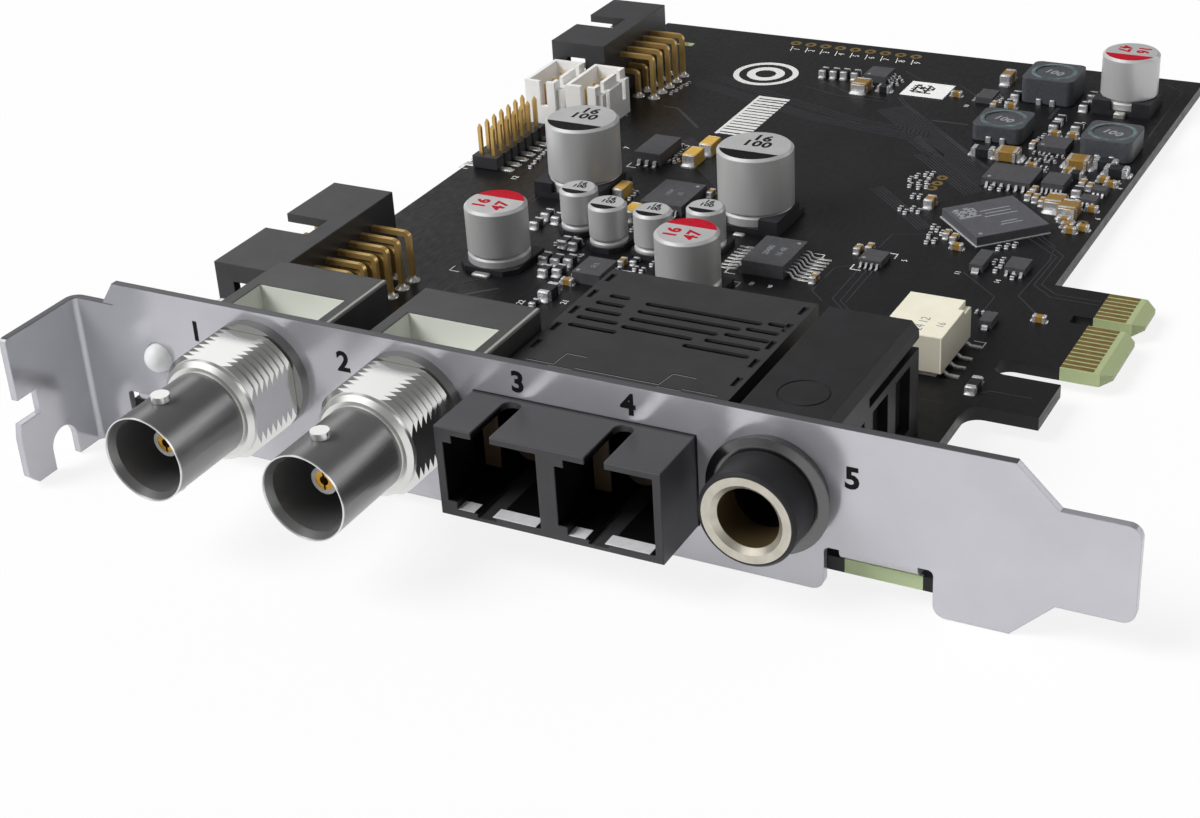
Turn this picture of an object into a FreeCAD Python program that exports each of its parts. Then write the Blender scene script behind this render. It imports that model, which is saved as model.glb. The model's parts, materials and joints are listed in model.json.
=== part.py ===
import FreeCAD, Part

import os
import re

import Sketcher
from FreeCAD import Rotation, Vector

# A full-height sound card for a short expansion slot, in millimetres.
# X runs from the screw flange of the bracket towards the edge contacts, Y from the bracket's
# outer face into the computer, Z up from the component side of the board.
# The origin is where the flange's seat, the bracket's outer face and the board's top meet.

doc = FreeCAD.newDocument("sound_card")
sheet = doc.addObject("Spreadsheet::Sheet", "Sizes")

sizes = {
    # circuit board
    "boardThick": 1.57,
    "boardLeft": 5.35,
    "boardFront": 0.9,
    "boardBack": 139.1,
    "boardRight": 92.6,
    "earRight": 101.3,
    "earBack": 11.0,
    "hookLong": 8.0,
    "hookRight": 100.55,
    "hookRound": 2.0,
    "slotEnd": 94.3,
    "slotWide": 3.75,
    "tongueNear": 45.95,
    "tongueTip": 105.0,
    "tongueCorner": 1.2,
    "bevelRun": 1.35,
    "bevelAngle": 20.0,
    "nearLong": 11.15,
    "keyWide": 1.95,
    "farLong": 7.05,
    "keyRoot": 97.0,
    # gold contacts on the edge
    "contactPitch": 1.0,
    "contactWide": 0.7,
    "contactStart": 99.27,
    "contactEnd": 102.97,
    "contactThick": 0.04,
    "contactInset": 0.64,
    "contactStep": 3.0,
    # folded sheet bracket
    "sheetThick": 0.86,
    "foldInner": 0.61,
    "plateTop": 14.86,
    "plateLow": -3.56,
    "plateEnd": 120.02,
    "neckTop": 12.2,
    "neckLow": -5.9,
    "neckEnd": 5.41,
    "shoulderStart": 4.04,
    "shoulderEnd": 5.86,
    "taperStart": 108.46,
    "tongueWide": 10.19,
    "tongueLow": 0.54,
    "taperRun": 4.2,
    "cornerRound": 1.3,
    "flangeDeep": 11.43,
    "lobeDeep": 12.0,
    "flangeNotchTop": 4.75,
    "flangeNotchLow": 1.85,
    "flangeNotchDeep": 3.0,
    "screwSlotY": -5.7,
    "screwSlotRadius": 2.05,
    "screwSlotTop": -3.5,
    "tabOpening": 11.0,
    "tabWide": 7.9,
    "tabBack": 9.6,
    "reliefRound": 0.6,
    "tabGap": 0.25,
    "lampX": 10.95,
    "lampZ": 6.7,
    "lampHoleRadius": 1.8,
    "lampGap": 0.1,
    "lampFootY": 11.2,
    # screws that hold the tabs
    "screwRadius": 1.5,
    "screwHeadRadius": 2.7,
    "screwHeadHigh": 1.3,
    "screwY": 6.2,
    # coaxial sockets
    "coaxX": 24.75,
    "coaxPitch": 19.47,
    "coaxZ": 7.42,
    "coaxMouth": 20.0,
    "barrelRadius": 4.75,
    "boreRadius": 4.15,
    "boreDeep": 9.6,
    "mouthBevel": 0.48,
    "mouthBevelDeep": 1.0,
    "threadRadius": 6.35,
    "threadRoot": 5.8,
    "threadPitch": 0.907,
    "threadFlat": 5.45,
    "collarThick": 1.2,
    "noseRadius": 5.75,
    "noseBevel": 0.5,
    "noseLong": 0.5,
    "lugRadius": 0.98,
    "lugReach": 5.5,
    "lugY": 15.9,
    "insulatorRadius": 1.5,
    "insulatorFront": 16.3,
    "contactRadius": 1.05,
    "contactBore": 0.5,
    "contactTail": 0.45,
    "panelGap": 0.1,
    "coaxHouseWide": 14.3,
    "coaxHouseHigh": 13.0,
    "coaxHouseBack": 15.1,
    "pitWide": 11.3,
    "pitFront": 2.2,
    "pitBack": 9.1,
    "pitDeep": 4.4,
    "stakeRadius": 0.75,
    "stakeX": 5.08,
    "stakeY": 12.6,
    "tailY": 7.6,
    "pinBelow": 1.0,
    # optical transceiver
    "fibreGap": 0.53,
    "fibreWide": 24.9,
    "fibreLow": 0.72,
    "fibreTop": 10.83,
    "fibreFront": 7.8,
    "fibreBack": 30.8,
    "fibreNoseBack": 7.3,
    "portPitch": 12.6,
    "portWide": 10.6,
    "portLow": 1.5,
    "portTop": 10.05,
    "portDeep": 14.0,
    "portStepWide": 1.0,
    "portStepHigh": 0.9,
    "keySlotWide": 2.2,
    "keySlotShift": 0.87,
    "keySlotBack": 1.7,
    "coverThick": 0.33,
    "ventRadius": 0.42,
    "sleeveRadius": 2.0,
    "sleeveBore": 1.27,
    "sleeveLong": 6.0,
    "canRadius": 2.8,
    "canLong": 5.5,
    "fibreZ": 5.8,
    # headphone jack
    "jackGap": 3.05,
    "jackZ": 6.75,
    "jackWide": 9.9,
    "jackTop": 13.1,
    "jackBack": 26.5,
    "jackBevel": 0.8,
    "jackSlotLong": 14.0,
    "jackSlotHigh": 1.1,
    "jackSlotDeep": 1.0,
    "jackLidThick": 1.9,
    "jackFront": 6.35,
    "jackNoseRadius": 5.09,
    "jackNoseBevel": 0.3,
    "jackMouthBevel": 0.55,
    "jackSleeveRadius": 4.62,
    "jackBore": 3.2,
    "jackSleeveLong": 9.0,
    "jackBoreDeep": 28.0,
    "jackNutRadius": 6.44,
    "jackNutTopRadius": 5.5,
    "jackNutRim": 1.45,
    "jackNutBackRadius": 5.85,
    "jackNutThick": 1.9,
    "springThick": 0.4,
    "springWide": 2.4,
    # shrouded cable headers
    "headerLeft": 4.6,
    "headerBack": 13.4,
    "headerTop": 9.1,
    "headerWall": 1.1,
    "headerWindowWide": 3.0,
    "headerWindowHigh": 4.6,
    "headerRootX": 18.65,
    "headerPitch": 2.54,
    "headerPinZ": 6.3,
    "headerOverhang": 5.08,
    "pinThick": 0.64,
    "pinBend": 0.9,
    "frontHeaderY": 24.05,
    "headerKeyWide": 4.5,
    "headerKeyDeep": 6.1,
    # white wire-to-board headers
    "whiteX": 5.35,
    "whiteSpace": 1.0,
    "whiteGap": 0.62,
    "whiteY": 92.1,
    "whiteWide": 4.9,
    "whiteLong": 9.3,
    "whiteHigh": 6.5,
    "whiteWall": 0.6,
    "whiteFloor": 1.2,
    "whiteRib": 0.85,
    "whitePitch": 2.5,
    "whitePinHigh": 5.4,
    "whiteSlot": 1.1,
    # two-row pin strip
    "stripX": 8.9,
    "stripY": 74.8,
    "stripPitch": 2.0,
    "stripHigh": 1.9,
    "stripNotch": 0.45,
    "stripPin": 0.5,
    "stripTip": 6.3,
    "stripFoot": 1.6,
    # electrolytic capacitors
    "canRim": 0.35,
    "canGroove": 0.3,
    "seatHigh": 0.75,
    "largeRadius": 5.0,
    "largeTop": 10.0,
    "largeSeat": 10.3,
    "largeNeck": 1.65,
    "largeBar": 7.2,
    "mediumRadius": 4.0,
    "mediumTop": 8.2,
    "mediumSeat": 8.3,
    "mediumNeck": 1.45,
    "mediumBar": 5.8,
    "smallRadius": 2.5,
    "smallTop": 6.0,
    "smallSeat": 5.3,
    "smallNeck": 0.95,
    "postHigh": 2.1,
    "barWide": 2.65,
    # coils, chips and relay
    "coilRound": 1.0,
    "coilWellRadius": 2.7,
    "coilWellDeep": 0.15,
    "chipGap": 0.1,
    "mainChipSide": 10.0,
    "mainChipX": 80.5,
    "mainChipY": 80.2,
    "mainChipHigh": 1.3,
    "relayX": 84.55,
    "relayY": 43.3,
    "relayWide": 7.2,
    "relayGap": 0.75,
    "relayLong": 9.9,
    "relayHigh": 5.2,
    "relayStep": 0.7,
}

# Places that follow from the sizes above.
derived = {
    "hookBack": "tongueNear - slotWide",
    "hookFront": "hookBack - hookLong",
    "contactFirst": "tongueNear + contactInset",
    "keyNear": "tongueNear + nearLong",
    "keyFar": "keyNear + keyWide",
    "tongueFar": "keyFar + farLong",
    "fibreX": "coaxX + coaxPitch + coaxHouseWide / 2 + fibreGap + fibreWide / 2",
    "jackX": "fibreX + fibreWide / 2 + jackGap + jackWide / 2",
    "rightTabStart": "jackX + jackWide / 2 + tabGap",
    "whiteStep": "whiteWide + whiteRib + whiteSpace",
    "rearHeaderY": "whiteY + whiteLong + whiteGap + headerOverhang",
}

for row, (name, number) in enumerate(sizes.items(), start=1):
    sheet.set("A%d" % row, name)
    sheet.set("B%d" % row, str(number))
    sheet.setAlias("B%d" % row, name)
doc.recompute()

# Where the capacitors stand: kind, centre X, centre Y, side of the cut corners along Y, raised seat or flat.
capPlaces = [
    ("large", 25.15, 73.3, 1, True),
    ("large", 51.05, 72.0, 1, True),
    ("medium", 26.2, 48.1, -1, False),
    ("medium", 52.5, 48.5, -1, False),
    ("medium", 85.0, 126.4, 1, True),
    ("small", 31.25, 60.4, -1, False),
    ("small", 37.05, 57.3, -1, False),
    ("small", 43.45, 57.3, -1, False),
    ("small", 49.25, 60.6, -1, False),
]

# Coils: centre X, centre Y, side, height.
coilPlaces = [
    (73.9, 126.8, 7.6, 3.8),
    (71.8, 110.3, 7.2, 2.4),
    (87.5, 108.8, 7.2, 3.0),
]

# Flat chips: centre X, centre Y, length along X, length along Y, height.
chipPlaces = [
    (59.0, 59.7, 5.6, 7.8, 1.8),
    (38.8, 72.6, 6.0, 7.8, 1.4),
    (39.7, 48.3, 3.9, 4.8, 1.5),
    (29.6, 86.5, 4.0, 6.8, 1.8),
    (78.0, 94.9, 6.6, 5.6, 1.1),
    (84.1, 94.6, 3.0, 3.9, 1.3),
    (80.0, 107.8, 4.0, 4.0, 0.9),
    (70.2, 64.6, 3.0, 3.2, 0.9),
    (82.7, 68.5, 1.7, 4.6, 1.0),
    (87.3, 68.5, 2.6, 3.2, 1.0),
    (47.4, 125.8, 3.5, 4.0, 1.1),
    (65.4, 122.6, 2.5, 3.6, 0.9),
    (89.6, 91.0, 2.2, 1.9, 0.9),
    (90.0, 94.4, 2.0, 1.7, 0.9),
    (88.6, 53.4, 1.5, 2.6, 1.0),
]

# Chip capacitors and resistors: centre X, centre Y, length along X, length along Y, height.
smallPlaces = [
    (35.3, 86.0, 2.0, 3.3, 1.8),
    (35.8, 90.4, 2.0, 3.3, 1.8),
    (75.1, 102.1, 3.2, 2.5, 1.4),
    (84.8, 102.4, 3.2, 2.5, 1.4),
    (86.0, 88.0, 2.5, 3.2, 1.6),
    (88.2, 86.6, 2.5, 3.2, 1.6),
    (66.0, 130.2, 1.6, 3.2, 1.6),
    (46.7, 120.2, 2.5, 3.0, 1.5),
    (39.2, 123.9, 1.0, 2.0, 1.2),
    (40.9, 124.1, 1.0, 2.0, 1.2),
    (42.5, 124.3, 1.0, 2.0, 1.2),
    (44.2, 124.4, 1.0, 2.0, 1.2),
    (92.1, 37.9, 1.2, 3.0, 0.9),
]

subparts = []


def words(text):
    """Points each size's name at its cell, and writes out the places that follow from them."""
    def swap(found):
        name = found.group()
        if name in derived:
            return "(" + words(derived[name]) + ")"
        return "Sizes." + name if name in sizes else name
    return re.sub(r"[A-Za-z_]\w*", swap, str(text))


def number(text):
    """The present value of an expression in the sizes."""
    found = sheet.evalExpression(words(text))
    return float(getattr(found, "Value", found))


def bind(item, **cells):
    for name, text in cells.items():
        item.setExpression(name, words(text))
    return item


def place(item, at, turn=None):
    if turn is not None:
        item.Placement = FreeCAD.Placement(Vector(), turn)
    for axis, text in zip("xyz", at):
        item.setExpression("Placement.Base." + axis, words(text))
    return item


# Turns that lay a primitive's own Z axis along X, Y or down.
alongX = Rotation(Vector(0, 1, 0), 90)
alongY = Rotation(Vector(1, 0, 0), -90)
towardsFront = Rotation(Vector(1, 0, 0), 90)


def box(at, size):
    item = doc.addObject("Part::Box", "block")
    bind(item, Length=size[0], Width=size[1], Height=size[2])
    return place(item, at)


def blockAt(centreX, centreY, low, wide, deep, high):
    """A block centred on a point in plan."""
    return box(("(%s) - (%s) / 2" % (centreX, wide), "(%s) - (%s) / 2" % (centreY, deep), low), (wide, deep, high))


def rod(at, radius, length, turn=None):
    item = doc.addObject("Part::Cylinder", "rod")
    bind(item, Radius=radius, Height=length)
    return place(item, at, turn)


def cone(at, first, second, length, turn=None):
    item = doc.addObject("Part::Cone", "cone")
    bind(item, Radius1=first, Radius2=second, Height=length)
    return place(item, at, turn)


def fuse(items):
    item = doc.addObject("Part::MultiFuse", "joined")
    item.Shapes = items
    item.Refine = True
    return item


def group(items):
    item = doc.addObject("Part::Compound", "group")
    item.Links = items
    return item


def cut(base, tools):
    item = doc.addObject("Part::Cut", "cut")
    item.Base = base
    item.Tool = tools[0] if len(tools) == 1 else group(tools)
    return item


def keep(item, label):
    """Names a finished sub-part and adds it to the list that is exported."""
    item.Label = label
    subparts.append(item)
    return item


def plate(plane, corners, thickness, backwards, label="plate"):
    """A flat plate: a closed outline of straight lines on an origin plane, padded."""
    body = doc.addObject("PartDesign::Body", label)
    sketch = body.newObject("Sketcher::SketchObject", label + "_outline")
    flat = [item for item in body.Origin.OriginFeatures if item.Role == plane][0]
    sketch.AttachmentSupport = [(flat, "")]
    sketch.MapMode = "FlatFace"
    points = [Vector(number(a), number(b), 0) for a, b in corners]
    count = len(points)
    for i in range(count):
        sketch.addGeometry(Part.LineSegment(points[i], points[(i + 1) % count]), False)
    for i in range(count):
        sketch.addConstraint(Sketcher.Constraint("Coincident", i, 2, (i + 1) % count, 1))
    for i, (a, b) in enumerate(corners):
        for kind, text in (("DistanceX", a), ("DistanceY", b)):
            spot = sketch.addConstraint(Sketcher.Constraint(kind, -1, 1, i, 1, number(text)))
            sketch.renameConstraint(spot, "%s%d" % (kind, i))
            sketch.setExpression("Constraints.%s%d" % (kind, i), words(text))
    pad = body.newObject("PartDesign::Pad", label + "_pad")
    pad.Profile = sketch
    bind(pad, Length=thickness)
    pad.Reversed = backwards
    doc.recompute()
    return body


def roundEdges(body, spots, radius, axes):
    """Rounds the short edges that stand on the given corners of a plate."""
    base = body.Tip
    names = []
    for index, edge in enumerate(base.Shape.Edges, start=1):
        middle = edge.CenterOfMass
        for a, b in spots:
            near = abs(getattr(middle, axes[0]) - number(a)) + abs(getattr(middle, axes[1]) - number(b))
            if near < 0.01:
                names.append("Edge%d" % index)
    fillet = body.newObject("PartDesign::Fillet", "rounding")
    fillet.Base = (base, names)
    bind(fillet, Radius=radius)
    body.Tip = fillet
    doc.recompute()
    return body


def makeBoard(holes):
    """The board with its hook, the slot behind it and the keyed contact tongue."""
    corners = [
        ("boardLeft", "boardFront"), ("earRight", "boardFront"), ("earRight", "earBack"),
        ("boardRight", "earBack"), ("boardRight", "hookFront"), ("hookRight", "hookFront"),
        ("hookRight", "hookBack"), ("slotEnd", "hookBack"), ("slotEnd", "tongueNear"),
        ("tongueTip - tongueCorner", "tongueNear"), ("tongueTip", "tongueNear + tongueCorner"),
        ("tongueTip", "keyNear - tongueCorner"), ("tongueTip - tongueCorner", "keyNear"),
        ("keyRoot", "keyNear"), ("keyRoot", "keyFar"),
        ("tongueTip - tongueCorner", "keyFar"), ("tongueTip", "keyFar + tongueCorner"),
        ("tongueTip", "tongueFar - tongueCorner"), ("tongueTip - tongueCorner", "tongueFar"),
        ("boardRight", "tongueFar"), ("boardRight", "boardBack"), ("boardLeft", "boardBack"),
    ]
    body = plate("XY_Plane", corners, "boardThick", True, "board_plate")
    roundEdges(body, [("boardRight", "hookFront")], "hookRound", "xy")
    slotRound = rod(("slotEnd", "(hookBack + tongueNear) / 2", "-boardThick - 1"),
                    "(tongueNear - hookBack) / 2", "boardThick + 2")
    upper = box(("tongueTip - bevelRun", "tongueNear - 1", "0"), ("2 * bevelRun", "tongueFar - tongueNear + 2", "2"))
    upper.Placement = FreeCAD.Placement(Vector(), Rotation(Vector(0, 1, 0), number("bevelAngle")))
    lower = box(("tongueTip - bevelRun", "tongueFar + 1", "-boardThick"),
                ("2 * bevelRun", "tongueFar - tongueNear + 2", "2"))
    lower.Placement = FreeCAD.Placement(
        Vector(), Rotation(Vector(0, 1, 0), -number("bevelAngle")).multiply(Rotation(Vector(1, 0, 0), 180)))
    return keep(cut(body, [slotRound, upper, lower] + holes), "board")


def makeContacts():
    """Gold contacts on both faces: eleven before the key and seven after it."""
    pads = []
    steps = list(range(11)) + [10 + i for i in range(7)]
    for i, step in enumerate(steps):
        extra = " + contactStep" if i > 10 else ""
        y = "contactFirst + %d * contactPitch%s - contactWide / 2" % (step, extra)
        for low in ("0", "-boardThick - contactThick"):
            pads.append(box(("contactStart", y, low), ("contactEnd - contactStart", "contactWide", "contactThick")))
    return keep(group(pads), "edge_contacts")


def quarterBend(at, length, turn):
    """A quarter ring of sheet about a fold line."""
    outer = rod(at, "foldInner + sheetThick", length, turn)
    inner = rod(at, "foldInner", length, turn)
    for item in (outer, inner):
        item.Angle = 90
    return cut(outer, [inner])


def tabPieces(start):
    """A tab folded back over the board, from the start of its opening along X."""
    left = "%s + (tabOpening - tabWide) / 2" % start
    turn = Rotation(Vector(0, -1, 0), Vector(0, 0, -1), Vector(1, 0, 0), "XYZ")
    bend = quarterBend((left, "sheetThick + foldInner", "sheetThick + foldInner"), "tabWide", turn)
    flat = box((left, "sheetThick + foldInner", "0"), ("tabWide", "tabBack - sheetThick - foldInner", "sheetThick"))
    return [bend, flat]


def makeBracket(openings):
    """One folded sheet: screw flange, plate with its openings, two board tabs and the end tongue."""
    bendTop = "sheetThick + foldInner"
    corners = [
        ("foldInner", "neckLow"), ("neckEnd", "neckLow"), ("neckEnd", bendTop),
        ("neckEnd + tabOpening", bendTop), ("neckEnd + tabOpening", "plateLow"),
        ("rightTabStart", "plateLow"), ("rightTabStart", bendTop),
        ("rightTabStart + tabOpening", bendTop), ("rightTabStart + tabOpening", "plateLow"),
        ("taperStart", "plateLow"), ("taperStart + taperRun", "tongueLow"), ("plateEnd", "tongueLow"),
        ("plateEnd", "tongueLow + tongueWide"), ("taperStart + taperRun", "tongueLow + tongueWide"),
        ("taperStart", "plateTop"), ("shoulderEnd", "plateTop"), ("shoulderStart", "neckTop"),
        ("foldInner", "neckTop"),
    ]
    body = plate("XZ_Plane", corners, "sheetThick", True, "bracket_plate")
    roundEdges(body, [corners[i] for i in (2, 3, 6, 7)], "reliefRound", "xz")
    roundEdges(body, [corners[i] for i in (5, 8, 11, 12)], "cornerRound", "xz")
    flangeCorners = [
        ("-foldInner", "neckLow"), ("-foldInner", "neckTop"), ("-flangeDeep", "neckTop"),
        ("-flangeDeep", "flangeNotchTop"), ("flangeNotchDeep - flangeDeep", "flangeNotchTop"),
        ("flangeNotchDeep - flangeDeep", "flangeNotchLow"), ("-flangeDeep - 0.2", "flangeNotchLow"),
        ("-lobeDeep", "flangeNotchLow - 1.7"), ("-lobeDeep", "neckLow + cornerRound"),
        ("-lobeDeep + cornerRound", "neckLow"),
    ]
    flange = plate("YZ_Plane", flangeCorners, "sheetThick", True, "flange_plate")
    roundEdges(flange, [flangeCorners[2]], "reliefRound", "yz")
    turn = Rotation(Vector(0, 1, 0), Vector(-1, 0, 0), Vector(0, 0, 1), "XYZ")
    fold = quarterBend(("foldInner", "-foldInner", "neckLow"), "neckTop - neckLow", turn)
    screwSlot = rod(("-sheetThick - 1", "screwSlotY", "screwSlotTop"), "screwSlotRadius", "sheetThick + 2", alongX)
    screwMouth = box(("-sheetThick - 1", "screwSlotY - screwSlotRadius", "neckLow - 1"),
                     ("sheetThick + 2", "2 * screwSlotRadius", "screwSlotTop - neckLow + 1"))
    sheetMetal = fuse([body, flange, fold] + tabPieces("neckEnd") + tabPieces("rightTabStart"))
    return keep(cut(sheetMetal, [screwSlot, screwMouth] + openings), "bracket")


def panelOpenings():
    """What is cut through the bracket: lamp, two sockets, optical port, jack and tab threads."""
    tools = [rod(("lampX", "-1", "lampZ"), "lampHoleRadius", "sheetThick + 2", alongY)]
    for i in range(2):
        tools.append(rod(("coaxX + %d * coaxPitch" % i, "-1", "coaxZ"), "threadRadius - collarThick / 4",
                         "sheetThick + 2", alongY))
    tools.append(box(("fibreX - fibreWide / 2 - panelGap", "-1", "fibreLow - panelGap"),
                     ("fibreWide + 2 * panelGap", "sheetThick + 2", "fibreTop - fibreLow + 2 * panelGap")))
    tools.append(rod(("jackX", "-1", "jackZ"), "jackNoseRadius + panelGap", "sheetThick + 2", alongY))
    for middle in ("neckEnd + tabOpening / 2", "rightTabStart + tabOpening / 2"):
        tools.append(rod((middle, "screwY", "-1"), "screwRadius", "sheetThick + 2"))
    return tools


def makeScrews():
    """Two pan-head screws that come up through the board into the tabs."""
    screws = []
    for middle in ("neckEnd + tabOpening / 2", "rightTabStart + tabOpening / 2"):
        shank = rod((middle, "screwY", "-boardThick"), "screwRadius", "boardThick + sheetThick")
        head = rod((middle, "screwY", "-boardThick - screwHeadHigh"), "screwHeadRadius", "screwHeadHigh")
        recess = box((middle + " - screwHeadRadius * 0.6", "screwY - 0.3", "-boardThick - screwHeadHigh - 0.1"),
                     ("screwHeadRadius * 1.2", "0.6", "0.9"))
        across = box((middle + " - 0.3", "screwY - screwHeadRadius * 0.6", "-boardThick - screwHeadHigh - 0.1"),
                     ("0.6", "screwHeadRadius * 1.2", "0.9"))
        screws.append(cut(fuse([shank, head]), [recess, across]))
    return keep(group(screws), "tab_screws")


def makeLamp():
    """The clear lens of the signal lamp: a rod with a domed front just inside its hole."""
    radius = "lampHoleRadius - lampGap"
    stem = rod(("lampX", "0", "lampZ"), radius, "lampFootY + 1", alongY)
    foot = blockAt("lampX", "lampFootY", "0", "2.4", "2", "lampZ")
    dome = doc.addObject("Part::Sphere", "dome")
    bind(dome, Radius=radius)
    place(dome, ("lampX", "0", "lampZ"))
    return keep(fuse([stem, foot, dome]), "signal_lamp")


def makeCoax(i, name):
    """One coaxial socket: turned shell, insulator, centre contact and the housing behind the panel."""
    x = "coaxX + %d * coaxPitch" % i
    turns = 8
    threadStart = "collarThick + %d * threadPitch" % turns
    pieces = [
        rod((x, "-coaxMouth", "coaxZ"), "barrelRadius", "coaxMouth", alongY),
        rod((x, "-collarThick", "coaxZ"), "threadRadius", "collarThick", alongY),
        rod((x, "-(%s)" % threadStart, "coaxZ"), "threadRoot", threadStart, alongY),
        cone((x, "-(%s) - noseLong - noseBevel" % threadStart, "coaxZ"), "noseRadius - noseBevel", "noseRadius",
             "noseBevel", alongY),
        rod((x, "-(%s) - noseLong" % threadStart, "coaxZ"), "noseRadius", "noseLong", alongY),
        rod((x, "0", "coaxZ"), "threadRadius - collarThick / 4", "boardFront", alongY),
    ]
    for turn in range(turns):
        low = "-collarThick - %d * threadPitch" % (turn + 1)
        pieces.append(cone((x, low, "coaxZ"), "threadRoot", "threadRadius", "threadPitch / 2", alongY))
        pieces.append(cone((x, low + " + threadPitch / 2", "coaxZ"), "threadRadius", "threadRoot", "threadPitch / 2",
                           alongY))
    for side in (0, 1):
        turn = None if side else Rotation(Vector(1, 0, 0), 180)
        pieces.append(rod((x, "-lugY", "coaxZ"), "lugRadius", "lugReach", turn))
    flats = []
    for a, b in ((1, 0), (-1, 0), (0, 1), (0, -1)):
        flats.append(box((x + " - threadRadius + (%d) * (threadRadius + threadFlat)" % a,
                          "-(%s)" % threadStart,
                          "coaxZ - threadRadius + (%d) * (threadRadius + threadFlat)" % b),
                         ("2 * threadRadius", "%d * threadPitch" % turns, "2 * threadRadius")))
    bore = rod((x, "-coaxMouth - 1", "coaxZ"), "boreRadius", "boreDeep + 1", alongY)
    bevel = cone((x, "-coaxMouth", "coaxZ"), "boreRadius + mouthBevel", "boreRadius", "mouthBevelDeep", alongY)
    seat = rod((x, "-coaxMouth", "coaxZ"), "insulatorRadius", "coaxMouth + boardFront + 1", alongY)
    keep(cut(fuse(pieces), flats + [bore, bevel, seat]), name + "_shell")

    long = "insulatorFront + boardFront"
    tube = rod((x, "-insulatorFront", "coaxZ"), "insulatorRadius", long, alongY)
    inside = rod((x, "-insulatorFront", "coaxZ"), "contactRadius", long, alongY)
    keep(cut(tube, [inside]), name + "_insulator")

    pin = rod((x, "-insulatorFront", "coaxZ"), "contactRadius", "insulatorFront + boardFront", alongY)
    run = rod((x, "boardFront", "coaxZ"), "contactTail", "tailY - boardFront", alongY)
    elbow = doc.addObject("Part::Sphere", "elbow")
    bind(elbow, Radius="contactTail")
    place(elbow, (x, "tailY", "coaxZ"))
    drop = rod((x, "tailY", "-boardThick - pinBelow"), "contactTail", "coaxZ + boardThick + pinBelow")
    socket = rod((x, "-insulatorFront - 1", "coaxZ"), "contactBore", "6", alongY)
    slit = box((x + " - 0.12", "-insulatorFront - 1", "coaxZ - contactRadius - 1"),
               ("0.24", "4", "2 * contactRadius + 2"))
    keep(cut(fuse([pin, run, elbow, drop]), [socket, slit]), name + "_contact")

    house = blockAt(x, "(boardFront + coaxHouseBack) / 2", "0", "coaxHouseWide", "coaxHouseBack - boardFront",
                    "coaxHouseHigh")
    stakes = [rod((x + " + (%d) * stakeX" % side, "stakeY", "-boardThick - pinBelow"), "stakeRadius",
                  "boardThick + pinBelow + 0.5") for side in (-1, 1)]
    pit = box((x + " - pitWide / 2", "pitFront", "coaxHouseHigh - pitDeep"),
              ("pitWide", "pitBack - pitFront", "pitDeep + 1"))
    channel = rod((x, "boardFront - 0.5", "coaxZ"), "contactTail", "tailY - boardFront + 0.5", alongY)
    ball = doc.addObject("Part::Sphere", "elbow")
    bind(ball, Radius="contactTail")
    place(ball, (x, "tailY", "coaxZ"))
    well = rod((x, "tailY", "-1"), "contactTail", "coaxZ + 1")
    keep(cut(fuse([house] + stakes), [pit, fuse([channel, ball, well])]), name + "_housing")

    holes = [rod((x + " + (%d) * stakeX" % side, "stakeY", "-boardThick - 1"), "stakeRadius", "boardThick + 2")
             for side in (-1, 1)]
    holes.append(rod((x, "tailY", "-boardThick - 1"), "contactTail", "boardThick + 2"))
    return holes


def ventSlots(top):
    """Three groups of rounded slots in the cover, each shorter than the one before it."""
    tools = []
    rows = [(-9.2, 1.7, 0), (-9.9, 2.7, 1), (-10.2, 3.6, 2), (-10.2, 4.2, 3), (-10.2, 5.0, 4)]
    for shift, long, step in rows:
        tools += ventSlot("fibreX + (%g)" % shift, "fibreBack - 6.2 - %g" % (step * 1.95), long, top)
    for step, long in enumerate((13.0, 11.4, 9.6, 7.6)):
        tools += ventSlot("fibreX - 4.6", "fibreBack - 6.6 - %g" % (step * 1.95), long, top)
    for step, (shift, long) in enumerate(((9.7, 1.6), (8.0, 3.0), (6.4, 4.4), (5.0, 5.6), (3.4, 6.8))):
        tools += ventSlot("fibreX + %g" % shift, "fibreBack - 6.2 - %g" % (step * 1.95), long, top)
    return tools


def ventSlot(x, y, long, top):
    low = "%s - coverThick - 0.2" % top
    high = "coverThick + 0.4"
    bar = box((x, "%s - ventRadius" % y, low), ("%g" % long, "2 * ventRadius", high))
    ends = [rod(("%s + %g" % (x, side), y, low), "ventRadius", high) for side in (0, long)]
    return [fuse([bar] + ends)]


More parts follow.
